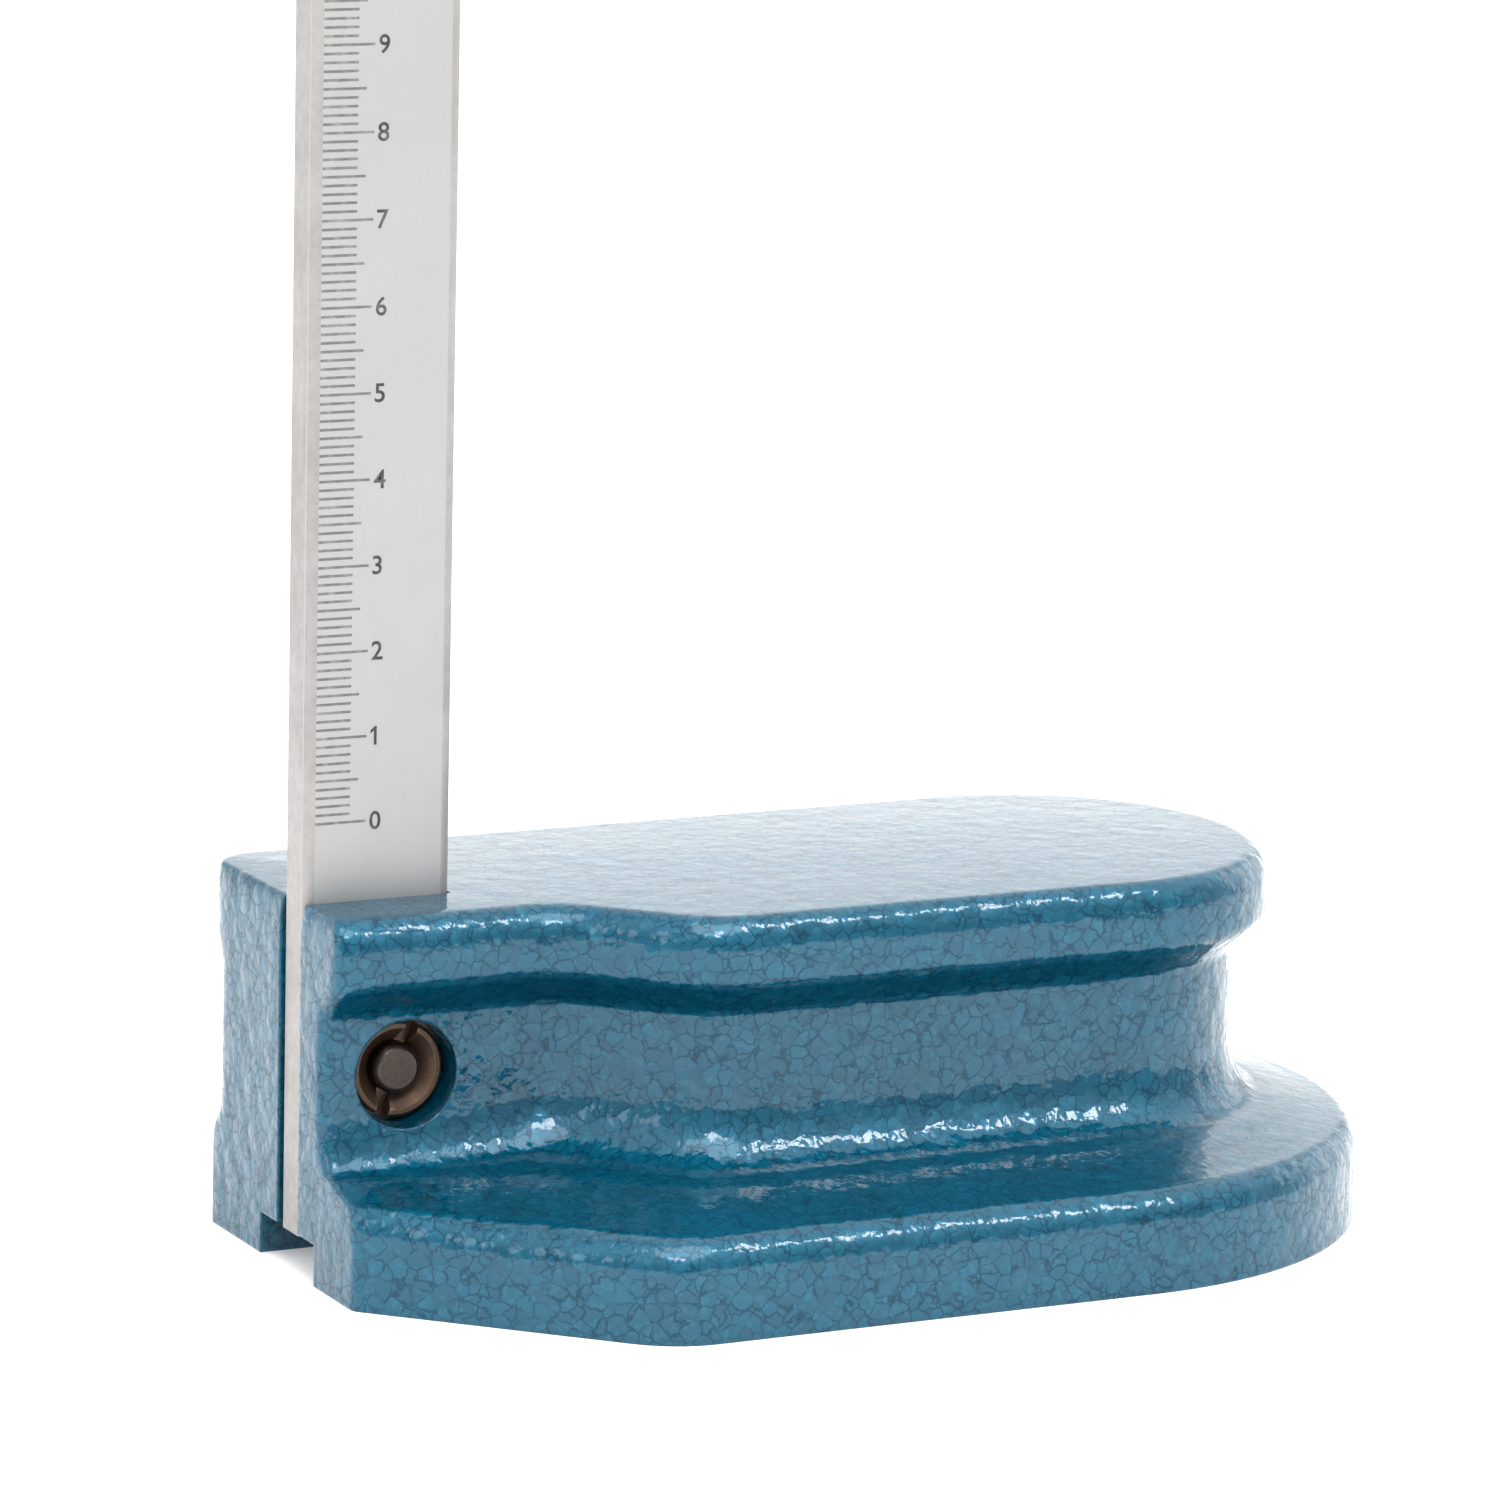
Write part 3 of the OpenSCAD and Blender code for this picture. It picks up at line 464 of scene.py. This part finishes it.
def piece(name, mesh, body, slot, materials, *replaced):
    """A finished piece that rides on a body and stands for CAD nodes."""
    mesh.materials.clear()
    for material in materials:
        mesh.materials.append(material)
    mesh.name = name
    made = bpy.data.objects.new(name, mesh)
    scene.collection.objects.link(made)
    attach(made, body)
    if replaced:
        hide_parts(*replaced)
    return made


def merged(meshes):
    """Several meshes as one bmesh."""
    work = bmesh.new()
    for mesh in meshes:
        work.from_mesh(mesh)
    return work


def softened(cad_node, width, slot, material):
    """A CAD node with its edges broken, as a finished piece."""
    work = merged([frame["nodes"][cad_node].data])
    bmesh.ops.remove_doubles(work, verts=work.verts, dist=2e-6)
    bmesh.ops.dissolve_limit(work, angle_limit=math.radians(1), verts=work.verts, edges=work.edges)
    plain = bpy.data.meshes.new(cad_node)
    work.to_mesh(plain)
    work.free()
    plain.shade_smooth()

    def break_edges(holder):
        bevel = holder.modifiers.new("edges", "BEVEL")
        bevel.width = width * MM
        bevel.segments = 2
        bevel.limit_method = "ANGLE"
        bevel.angle_limit = math.radians(32)
        flat = holder.modifiers.new("flat faces", "WEIGHTED_NORMAL")
        flat.mode = "FACE_AREA"
        flat.weight = 90
        flat.keep_sharp = True

    mesh = evaluated(plain, break_edges)
    return piece(cad_node + "_finished", mesh, body_of[cad_node], slot, [material], cad_node)


def turned(outline, sides=48):
    """A solid turned about Z from (radius, height) points in millimetres, closed at the axis or as a ring."""
    work = bmesh.new()
    rings = []
    for radius, height in outline:
        ring = []
        for step in range(sides):
            angle = 2 * math.pi * step / sides
            spot = (radius * MM * math.cos(angle), radius * MM * math.sin(angle), height * MM)
            ring.append(work.verts.new(spot))
        rings.append(ring)
    pairs = list(zip(rings, rings[1:]))
    if outline[0][0] > 0:
        pairs.append((rings[-1], rings[0]))
    for lower, upper in pairs:
        for step in range(sides):
            after = (step + 1) % sides
            work.faces.new((lower[step], lower[after], upper[after], upper[step]))
    bmesh.ops.remove_doubles(work, verts=work.verts, dist=1e-7)
    bmesh.ops.recalc_face_normals(work, faces=work.faces)
    mesh = bpy.data.meshes.new("turned")
    work.to_mesh(mesh)
    work.free()
    return mesh


# Geometry Nodes

def new_tree(name, inputs):
    """An empty Geometry Nodes tree with named inputs."""
    tree = bpy.data.node_groups.new(name, "GeometryNodeTree")
    tree.interface.new_socket("Geometry", in_out="OUTPUT", socket_type="NodeSocketGeometry")
    for label, kind, value in inputs:
        tree.interface.new_socket(label, in_out="INPUT", socket_type=kind).default_value = value
    tree.interface.new_socket("Material", in_out="INPUT", socket_type="NodeSocketMaterial")
    return tree, tree.nodes.new("NodeGroupInput").outputs, tree.nodes.new("NodeGroupOutput").inputs


def finish_tree(tree, given, result, geometry):
    """Ends a tree in plain geometry with its material."""
    real = node(tree, "GeometryNodeRealizeInstances", {"Geometry": geometry}).outputs[0]
    dressed = node(tree, "GeometryNodeSetMaterial", {"Geometry": real, "Material": given["Material"]})
    join_up(tree, dressed.outputs[0], result["Geometry"])
    return tree


def grown(tree, **values):
    """The plain mesh that a tree makes from its named inputs, underscores for spaces."""

    def grow(holder):
        modifier = holder.modifiers.new("grow", "NODES")
        modifier.node_group = tree
        for socket in tree.interface.items_tree:
            key = socket.name.replace(" ", "_")
            if socket.in_out == "INPUT" and key in values:
                modifier[socket.identifier] = values[key]

    return evaluated(bpy.data.meshes.new("seed"), grow)


def make_graduations():
    """A row of scale lines up Z: longer at every fifth and tenth."""
    tree, given, result = new_tree("graduations", [
        ("Count", "NodeSocketInt", 11),
        ("Spacing", "NodeSocketFloat", 0.001),
        ("Short", "NodeSocketFloat", 0.004),
        ("Middle", "NodeSocketFloat", 0.005),
        ("Long", "NodeSocketFloat", 0.006),
        ("Middle Every", "NodeSocketInt", 5),
        ("Long Every", "NodeSocketInt", 10),
        ("Width", "NodeSocketFloat", 0.0002),
        ("Depth", "NodeSocketFloat", 0.00003),
    ])
    step = node(tree, "ShaderNodeCombineXYZ", {"Z": given["Spacing"]}).outputs[0]
    row = node(tree, "GeometryNodeMeshLine", {"Count": given["Count"], "Offset": step}).outputs[0]
    number = node(tree, "GeometryNodeInputIndex").outputs[0]
    is_middle = sums(tree, "COMPARE", sums(tree, "MODULO", number, given["Middle Every"]), 0.0)
    is_long = sums(tree, "COMPARE", sums(tree, "MODULO", number, given["Long Every"]), 0.0)
    either = node(
        tree, "GeometryNodeSwitch",
        {"Switch": is_middle, "False": given["Short"], "True": given["Middle"]}, input_type="FLOAT",
    ).outputs[0]
    length = node(
        tree, "GeometryNodeSwitch",
        {"Switch": is_long, "False": either, "True": given["Long"]}, input_type="FLOAT",
    ).outputs[0]
    block = node(tree, "GeometryNodeMeshCube", {"Size": (1, 1, 1)}).outputs[0]
    shifted = node(tree, "GeometryNodeTransform", {"Geometry": block, "Translation": (0.5, 0, 0)}).outputs[0]
    scale = node(
        tree, "ShaderNodeCombineXYZ", {"X": length, "Y": given["Depth"], "Z": given["Width"]}
    ).outputs[0]
    lines = node(
        tree, "GeometryNodeInstanceOnPoints", {"Points": row, "Instance": shifted, "Scale": scale}
    ).outputs[0]
    return finish_tree(tree, given, result, lines)


def make_knurl():
    """Two crossing sets of slanted ridges round a grip, for a diamond knurl."""
    tree, given, result = new_tree("knurl", [
        ("Radius", "NodeSocketFloat", 0.005),
        ("Height", "NodeSocketFloat", 0.005),
        ("Ridges", "NodeSocketInt", 36),
        ("Ridge", "NodeSocketFloat", 0.0005),
        ("Slant", "NodeSocketFloat", 0.5),
    ])
    ring = node(
        tree, "GeometryNodeMeshCircle", {"Vertices": given["Ridges"], "Radius": given["Radius"]}
    ).outputs[0]
    length = sums(tree, "DIVIDE", given["Height"], sums(tree, "COSINE", given["Slant"]))
    size = node(
        tree, "ShaderNodeCombineXYZ", {"X": given["Ridge"], "Y": given["Ridge"], "Z": length}
    ).outputs[0]
    bar = node(tree, "GeometryNodeMeshCube", {"Size": size}).outputs[0]
    prism = node(
        tree, "GeometryNodeTransform", {"Geometry": bar, "Rotation": (0, 0, math.radians(45))}
    ).outputs[0]
    outward = node(
        tree, "FunctionNodeAlignRotationToVector",
        {"Vector": node(tree, "GeometryNodeInputPosition").outputs[0]}, axis="X", pivot_axis="Z",
    ).outputs[0]
    both = node(tree, "GeometryNodeJoinGeometry")
    for hand in (1.0, -1.0):
        lean = node(
            tree, "ShaderNodeCombineXYZ", {"X": sums(tree, "MULTIPLY", given["Slant"], hand)}
        ).outputs[0]
        tilt = node(tree, "FunctionNodeEulerToRotation", {0: lean}).outputs[0]
        turn = node(
            tree, "FunctionNodeRotateRotation",
            {"Rotation": outward, "Rotate By": tilt}, rotation_space="LOCAL",
        ).outputs[0]
        ridges = node(
            tree, "GeometryNodeInstanceOnPoints", {"Points": ring, "Instance": prism, "Rotation": turn}
        ).outputs[0]
        join_up(tree, ridges, both.inputs[0])
    return finish_tree(tree, given, result, both.outputs[0])


def make_thread():
    """A screw thread: a three-cornered ridge that climbs round a core."""
    tree, given, result = new_tree("thread", [
        ("Radius", "NodeSocketFloat", 0.0018),
        ("Pitch", "NodeSocketFloat", 0.0005),
        ("Length", "NodeSocketFloat", 0.04),
        ("Ridge", "NodeSocketFloat", 0.0002),
    ])
    turns = sums(tree, "DIVIDE", given["Length"], given["Pitch"])
    climb = node(tree, "GeometryNodeCurveSpiral", {
        "Resolution": 20, "Rotations": turns, "Start Radius": given["Radius"],
        "End Radius": given["Radius"], "Height": given["Length"],
    }).outputs[0]
    ridge = node(
        tree, "GeometryNodeCurvePrimitiveCircle", {"Resolution": 3, "Radius": given["Ridge"]}
    ).outputs[0]
    swept = node(
        tree, "GeometryNodeCurveToMesh", {"Curve": climb, "Profile Curve": ridge, "Fill Caps": True}
    ).outputs[0]
    return finish_tree(tree, given, result, swept)


graduations = make_graduations()
knurl = make_knurl()
thread = make_thread()


# Base

FRONT_LEG = 1.8
FLARE_LEG = 4.6
RIM = [
    (0, -14.4, FRONT_LEG), (27.5, -14.4, FLARE_LEG), (41.4, -28.3, FLARE_LEG), (126.5, -28.3, 28.3),
    (126.5, 28.3, 28.3), (34.45, 28.3, FLARE_LEG), (0, 28.3, 8),
]
WAIST = [
    (0, -9.7, FRONT_LEG), (29, -9.7, FLARE_LEG), (43.5, -24.2, FLARE_LEG), (122.4, -24.2, 24.2),
    (122.4, 24.2, 24.2), (34.45, 24.2, FLARE_LEG), (0, 24.2, 5),
]
FOOT = [
    (0, -19.4, 0.8), (13.95, -33.35, 5.4), (27.9, -47.3, 5.4), (137.2, -47.3, 47.3),
    (137.2, 47.3, 47.3), (24, 47.3, 5.4), (0, 23.3, 0.8),
]
CORNER_STEPS = (6, 10, 10, 30, 30, 8, 8)
EDGE_STEPS = (8, 5, 16, 0, 20, 10, 14)
FOOT_WALL = 8.2
FOOT_ROUND = 4.0
LEDGE_RUN = 23.1
LEDGE_RISE = 1.8
FILLET_W = 6.6
WAIST_LOW = 21.8
WAIST_HIGH = 31.6
COVE_H = 5.6
RIM_LOW = 38.7
RIM_Z = 40.2
RIM_TUCK = 0.7
BASE_H = 44.3
FRONT_ROUND = 0.9
FOOT_RINGS = (0.0, 3.0, 6.0, FOOT_WALL)
WAIST_RINGS = (25.0, 28.5, WAIST_HIGH)
SLOT_X = 18.95
SLOT_Y = 3.05
CHANNEL_X = 54
CHANNEL_Y = 8
CHANNEL_H = 5
STUD_X = 10.7
STUD_Z = 24.8
STUD_HOLE_R = 3.05
STUD_HOLE_Y = 18
WELL_R = 6.4


def rounded_corner(before, corner, after, leg, steps):
    """Points of an arc that joins two straight sides, each touched at one leg from the corner."""
    to_before = (before - corner).normalized()
    to_after = (after - corner).normalized()
    start = corner + to_before * leg
    end = corner + to_after * leg
    half = to_before.angle(to_after) / 2
    if half > math.radians(89.5):
        return [start.lerp(end, step / steps) for step in range(steps + 1)]
    centre = corner + (to_before + to_after).normalized() * (leg / math.cos(half))
    sweep = math.pi - 2 * half
    points = []
    for step in range(steps + 1):
        angle = sweep * step / steps
        a = start - centre
        b = end - centre
        points.append(centre + (a * math.sin(sweep - angle) + b * math.sin(angle)) / math.sin(sweep))
    return points


def plan_outline(corners):
    """A closed plan outline with rounded corners and evenly split sides."""
    spots = [Vector(corner[:2]) for corner in corners]
    arcs = []
    for number, spot in enumerate(spots):
        before = spots[number - 1]
        after = spots[(number + 1) % len(spots)]
        arcs.append(rounded_corner(before, spot, after, corners[number][2], CORNER_STEPS[number]))
    points = []
    for number, arc in enumerate(arcs):
        onward = arcs[(number + 1) % len(arcs)][0]
        split = EDGE_STEPS[number]
        points.extend(arc if split else arc[:-1])
        points.extend(arc[-1].lerp(onward, step / split) for step in range(1, split))
    return points


def ledge_profile():
    """(inset, height) points up the foot's rounded edge, the ledge and the fillet under the waist."""
    ledge_z = FOOT_WALL + FOOT_ROUND + LEDGE_RISE
    points = []
    for step in range(1, 13):
        angle = math.radians(90) * step / 12
        points.append((FOOT_ROUND * (1 - math.cos(angle)), FOOT_WALL + FOOT_ROUND * math.sin(angle)))
    flat = LEDGE_RUN - FILLET_W - FOOT_ROUND
    for step in range(1, 7):
        points.append((FOOT_ROUND + flat * step / 6, ledge_z - LEDGE_RISE * (1 - step / 6)))
    for step in range(1, 17):
        angle = math.radians(90) * step / 16
        climb = (WAIST_LOW - ledge_z) * (1 - math.cos(angle))
        points.append((LEDGE_RUN - FILLET_W * (1 - math.sin(angle)), ledge_z + climb))
    return points


def casting_levels():
    """Rings of the casting from the foot up: (height, outline share, outer outline, front rounding)."""
    levels = [(height, 1.0, "foot", 0.0) for height in FOOT_RINGS]
    for inset, height in ledge_profile():
        levels.append((height, 1 - inset / LEDGE_RUN, "foot", 0.0))
    levels += [(height, 0.0, "rim", 0.0) for height in WAIST_RINGS]
    for step in range(1, 15):
        rise = step / 14
        levels.append((WAIST_HIGH + COVE_H * rise, rise * rise * (3 - 2 * rise), "rim", 0.0))
    levels += [(height, 1.0, "rim", 0.0) for height in (RIM_LOW, RIM_Z)]
    for step in range(1, 13):
        angle = math.radians(90) * step / 12
        bend = 1 - math.cos(angle)
        levels.append((RIM_Z + (BASE_H - RIM_Z) * math.sin(angle), 1 - RIM_TUCK * bend, "rim", bend))
    return levels


def cast_base():
    """The casting's skin as one closed loft."""
    rim = plan_outline(RIM)
    waist = plan_outline(WAIST)
    foot = plan_outline(FOOT)
    work = bmesh.new()
    rings = []
    for height, share, outer, bend in casting_levels():
        ring = []
        for inner, wide in zip(waist, foot if outer == "foot" else rim):
            spot = inner.lerp(wide, share)
            ring.append(work.verts.new(at(max(spot.x, FRONT_ROUND * bend), spot.y, height)))
        rings.append(ring)
    count = len(rim)
    for lower, upper in zip(rings, rings[1:]):
        for step in range(count):
            after = (step + 1) % count
            work.faces.new((lower[step], lower[after], upper[after], upper[step]))
    work.faces.new(rings[0][::-1])
    work.faces.new(rings[-1])
    bmesh.ops.recalc_face_normals(work, faces=work.faces)
    mesh = bpy.data.meshes.new("casting")
    work.to_mesh(mesh)
    work.free()
    return mesh


def box_cutter(low, high):
    """A box cutter between two corners."""
    work = bmesh.new()
    bmesh.ops.create_cube(work, size=1)
    a = at(*low)
    b = at(*high)
    for vert in work.verts:
        vert.co = Vector([a[i] + (vert.co[i] + 0.5) * (b[i] - a[i]) for i in range(3)])
    return work


def round_cutter(radius, start, end):
    """A round cutter between two points."""
    work = bmesh.new()
    a = at(*start)
    b = at(*end)
    way = b - a
    place = Matrix.Translation((a + b) / 2) @ way.to_track_quat("Z", "Y").to_matrix().to_4x4()
    bmesh.ops.create_cone(
        work, cap_ends=True, segments=72, radius1=radius * MM, radius2=radius * MM, depth=way.length,
        matrix=place,
    )
    return work


def cut(mesh, cutters):
    """A mesh with solids taken out of it."""
    holders = []
    for work in cutters:
        shape = bpy.data.meshes.new("cutter")
        work.to_mesh(shape)
        work.free()
        holder = bpy.data.objects.new("cutter", shape)
        scene.collection.objects.link(holder)
        holders.append(holder)

    def take_out(target):
        for holder in holders:
            boolean = target.modifiers.new("cut", "BOOLEAN")
            boolean.operation = "DIFFERENCE"
            boolean.solver = "EXACT"
            boolean.object = holder

    done = evaluated(mesh, take_out)
    for holder in holders:
        bpy.data.objects.remove(holder)
    return done


def build_base():
    """The casting with its channel, slot, nut well and stud hole, enamelled, and lapped underneath."""
    mesh = cut(cast_base(), [
        box_cutter((-1, -CHANNEL_Y, -1), (CHANNEL_X, CHANNEL_Y, CHANNEL_H)),
        round_cutter(CHANNEL_Y, (CHANNEL_X, 0, -1), (CHANNEL_X, 0, CHANNEL_H)),
        box_cutter((-2, -SLOT_Y, -2), (SLOT_X, SLOT_Y, 60)),
        round_cutter(WELL_R, (STUD_X, -60, STUD_Z), (STUD_X, 0, STUD_Z)),
        round_cutter(STUD_HOLE_R, (STUD_X, -1, STUD_Z), (STUD_X, STUD_HOLE_Y, STUD_Z)),
    ])
    mesh.shade_smooth()
    mesh.set_sharp_from_angle(angle=math.radians(33))
    piece("base_casting", mesh, "frame", "hammertone", [enamel, lapped_iron], "base")
    for face in mesh.polygons:
        if face.normal.z < -0.9 and face.center.z < 0.02 * MM:
            face.material_index = 1


# Scales

FIGURE_ONE = [(0.2, -0.5), (0.36, -0.5), (0.36, 0.5), (0.24, 0.5), (0.0, 0.28), (0.0, 0.12), (0.2, 0.28)]
FIGURE_GAP = 0.13
FIGURE_DEPTH = 0.009
LETTER_DEPTH = 0.006
LETTER_BOLD = 0.012


def figure_one():
    """The figure 1 with its flag, one high."""
    work = bmesh.new()
    rings = []
    for depth in (-FIGURE_DEPTH, FIGURE_DEPTH):
        rings.append([work.verts.new((x, y, depth)) for x, y in FIGURE_ONE])
    work.faces.new(rings[0][::-1])
    work.faces.new(rings[1])
    for step in range(len(FIGURE_ONE)):
        after = (step + 1) % len(FIGURE_ONE)
        work.faces.new((rings[0][step], rings[0][after], rings[1][after], rings[1][step]))
    return as_mesh(work, "figure")


def figure(sign):
    """A figure from 0 to 9 as a thin mesh, one high, its left end at 0 and its middle at height 0."""
    if sign == "1":
        return figure_one()
    letter = bpy.data.curves.new("figure", "FONT")
    letter.body = sign
    letter.extrude = LETTER_DEPTH
    letter.offset = LETTER_BOLD
    letter.resolution_u = 4
    holder = bpy.data.objects.new("figure", letter)
    scene.collection.objects.link(holder)
    mesh = bpy.data.meshes.new_from_object(holder.evaluated_get(bpy.context.evaluated_depsgraph_get()))
    bpy.data.objects.remove(holder)
    left = min(v.co.x for v in mesh.vertices)
    low = min(v.co.y for v in mesh.vertices)
    high = max(v.co.y for v in mesh.vertices)
    mesh.transform(Matrix.Scale(1 / (high - low), 4) @ Matrix.Translation((-left, -(low + high) / 2, 0)))
    return mesh


def numeral(text, height):
    """A number as a thin mesh in X and Y, its left end at 0 and its middle at height 0."""
    figures = []
    reach = 0.0
    for sign in text:
        mesh = figure(sign)
        mesh.transform(Matrix.Translation((reach, 0, 0)))
        reach = max(v.co.x for v in mesh.vertices) + FIGURE_GAP
        figures.append(mesh)
    mesh = as_mesh(merged(figures), "numeral")
    mesh.transform(Matrix.Scale(height * MM, 4))
    return mesh


def framed(origin, across, upward):
    """The place of a thing drawn in X and Y, seen from the side that X cross Y faces."""
    facing = across.cross(upward)
    turn = Matrix((across, upward, facing)).transposed().to_4x4()
    return Matrix.Translation(origin) @ turn


ZERO_Z = 53.7
FACE_Y = -3.0
LINES_X = 1.72
FIGURES_X = 8.5
FIGURE_H = 2.2
LINE_DEPTH = 0.03


def build_main_scale():
    """The beam's millimetre lines and centimetre figures."""
    lines = grown(
        graduations, Count=351, Spacing=1 * MM, Short=4.3 * MM, Middle=5.3 * MM, Long=6.3 * MM,
        Width=0.31 * MM, Depth=LINE_DEPTH * MM, Material=line_ink,
    )
    lines.transform(Matrix.Translation(at(LINES_X, FACE_Y, ZERO_Z)))
    piece("beam_graduations", lines, "frame", "scale_steel", [line_ink])
    figures = []
    for number in range(36):
        mesh = numeral(str(number), FIGURE_H)
        mesh.transform(framed(at(FIGURES_X, FACE_Y, ZERO_Z + 10 * number), Vector((1, 0, 0)), UP))
        figures.append(mesh)
    mesh = as_mesh(merged(figures), "beam_figures")
    piece("beam_figures", mesh, "frame", "scale_steel", [figure_ink])


VERNIER_Z = 218.7
VERNIER_EDGE = (1.6, -3.6)
VERNIER_BROW = (-2.3, -7.0)
VERNIER_FIGURE_H = 1.5


def build_vernier_scale():
    """The vernier's fifty divisions and its figures, on the plate's bevel."""
    edge = at(*VERNIER_EDGE, VERNIER_Z)
    brow = at(*VERNIER_BROW, VERNIER_Z)
    slope = (brow - edge).normalized()
    facing = UP.cross(slope)
    lines = grown(
        graduations, Count=51, Spacing=0.98 * MM, Short=1.6 * MM, Middle=2.3 * MM, Long=2.3 * MM,
        Width=0.16 * MM, Depth=LINE_DEPTH * MM, Material=line_ink,
    )
    turn = Matrix((slope, facing, UP)).transposed().to_4x4()
    lines.transform(Matrix.Translation(edge + slope * 0.1 * MM) @ turn)
    piece("vernier_graduations", lines, "slider", "scale_steel", [line_ink])
    figures = []
    for number in range(11):
        mesh = numeral(str(number), VERNIER_FIGURE_H)
        wide = max(v.co.x for v in mesh.vertices)
        spot = edge + slope * (2.8 * MM + wide) + UP * (4.9 * number * MM)
        mesh.transform(framed(spot, -slope, UP))
        figures.append(mesh)
    mesh = as_mesh(merged(figures), "vernier_figures")
    piece("vernier_figures", mesh, "slider", "scale_steel", [figure_ink])


# Screws

THUMB_H = 7.5
THUMB_R = 5.5
KNURL_SLANT = math.radians(30)
FEED_X = 32.0
FEED_PITCH = 0.5
FEED_SHANK = 12.0
FEED_NUT_Z = 293.7
FEED_NUT_R = 7.0
FEED_NUT_H = 7.6


def thumb_screw(cad_node, direction):
    """A knurled clamp screw whose head is at the far end of its direction."""
    low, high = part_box(cad_node)
    way = Vector(direction)
    length = abs((high - low).dot(way)) / MM
    foot = (low + high) / 2 - way * (length / 2 * MM)
    reach = length - THUMB_H
    grip_r = THUMB_R - 0.35
    shaft = turned([
        (0, 0), (1.3, 0), (2, 0.7), (2, reach), (4.1, reach), (4.4, reach + 0.3), (4.4, reach + 1.0),
        (grip_r - 0.3, reach + 1.0), (grip_r, reach + 1.3), (grip_r, reach + 6.2),
        (grip_r - 0.3, reach + 6.5), (4.7, reach + 6.5), (4.6, reach + 6.9), (4.0, reach + THUMB_H),
        (3.1, reach + THUMB_H), (2.7, reach + THUMB_H - 0.35), (0, reach + THUMB_H - 0.5),
    ])
    ridges = grown(
        knurl, Radius=grip_r * MM, Height=4.6 * MM, Ridges=34, Ridge=0.48 * MM, Slant=KNURL_SLANT,
        Material=knurled_steel,
    )
    ridges.transform(Matrix.Translation((0, 0, (reach + 3.75) * MM)))
    mesh = as_mesh(merged([shaft, ridges]), cad_node)
    mesh.transform(Matrix.Translation(foot) @ way.to_track_quat("Z", "Y").to_matrix().to_4x4())
    piece(cad_node + "_knurled", mesh, body_of[cad_node], "knurled_steel", [knurled_steel], cad_node)


def build_feed_nut():
    """The knurled fine-feed nut."""
    ring = turned([
        (2.08, 0.3), (2.4, 0), (6.1, 0), (6.6, 0.5), (6.6, 0.8), (FEED_NUT_R, 1.0), (FEED_NUT_R, 6.6),
        (6.6, 6.8), (6.6, 7.1), (6.1, FEED_NUT_H), (2.4, FEED_NUT_H), (2.08, 7.3),
    ], 64)
    ridges = grown(
        knurl, Radius=FEED_NUT_R * MM, Height=5.2 * MM, Ridges=44, Ridge=0.5 * MM, Slant=KNURL_SLANT,
        Material=knurled_steel,
    )
    ridges.transform(Matrix.Translation((0, 0, FEED_NUT_H / 2 * MM)))
    mesh = as_mesh(merged([ring, ridges]), "fine_feed_nut")
    mesh.transform(Matrix.Translation(at(FEED_X, 0, FEED_NUT_Z - FEED_NUT_H / 2)))
    piece("fine_feed_nut_knurled", mesh, "fine_nut", "knurled_steel", [knurled_steel], "fine_feed_nut")


def build_feed_screw():
    """The fine-feed screw: a plain shank below and a real thread above."""
    low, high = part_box("fine_feed_screw")
    length = (high.z - low.z) / MM
    core = turned([
        (0, 0), (1.7, 0), (2.0, 0.3), (2.0, FEED_SHANK), (1.7, FEED_SHANK + 0.4), (1.7, length - 0.6),
        (1.3, length - 0.1), (1.1, length), (0, length),
    ], 40)
    ridge = grown(
        thread, Radius=1.78 * MM, Pitch=FEED_PITCH * MM, Length=(length - FEED_SHANK - 1.4) * MM,
        Ridge=0.22 * MM, Material=screw_steel,
    )
    ridge.transform(Matrix.Translation((0, 0, (FEED_SHANK + 0.4) * MM)))
    mesh = as_mesh(merged([core, ridge]), "fine_feed_screw")
    mesh.transform(Matrix.Translation(((low.x + high.x) / 2, 0, low.z)))
    piece("fine_feed_screw_threaded", mesh, "slider", "plain_steel", [screw_steel], "fine_feed_screw")


LARGE_FACE = 5e-5


def dress_nodes():
    """Each machined part with broken edges and its finish; the beam's bevels and narrow faces get their own
    grinding lines and a darker steel that paints shade on them.
    """
    beam = softened("beam", 0.12, "beam_steel", beam_steel).data
    # The bevels and narrow faces take the darker steel: their own grinding lines, and painted shade.
    beam.materials.append(bevel_steel)
    for face in beam.polygons:
        if max(abs(face.normal.y), abs(face.normal.z)) < 0.9 and face.area > LARGE_FACE:
            face.material_index = 1
    softened("beam_clamp_stud", 0.15, "plain_steel", stud_steel)
    softened("beam_clamp_nut", 0.18, "black_steel", blackened_steel)
    softened("slider", 0.35, "satin_steel", slider_steel)
    softened("carriage", 0.3, "satin_steel", slider_steel)
    softened("slider_keeper", 0.25, "satin_steel", keeper_steel)
    softened("carriage_keeper", 0.25, "satin_steel", keeper_steel)
    softened("vernier_plate", 0.12, "scale_steel", vernier_steel)
    softened("scriber", 0.25, "satin_steel", slider_steel)
    softened("scriber_tip", 0.05, "hard_metal", hard_metal)
    softened("scriber_clamp", 0.3, "satin_steel", keeper_steel)
    softened("slider_gib", 0.1, "brass", gib_brass)
    softened("carriage_clamp_pad", 0.1, "brass", gib_brass)
    for screws in (
        "beam_stop_screw", "slider_keeper_screws", "vernier_screws", "slider_gib_screws", "fine_feed_pin",
        "carriage_keeper_screws",
    ):
        softened(screws, 0.1, "plain_steel", screw_steel)


set_camera()
light_studio()
build_base()
dress_nodes()
build_main_scale()
build_vernier_scale()
thumb_screw("slider_clamp_screw", (1, 0, 0))
thumb_screw("carriage_clamp_screw", (-1, 0, 0))
thumb_screw("scriber_clamp_screw", (0, 0, 1))
build_feed_nut()
build_feed_screw()

bpy.context.view_layer.update()
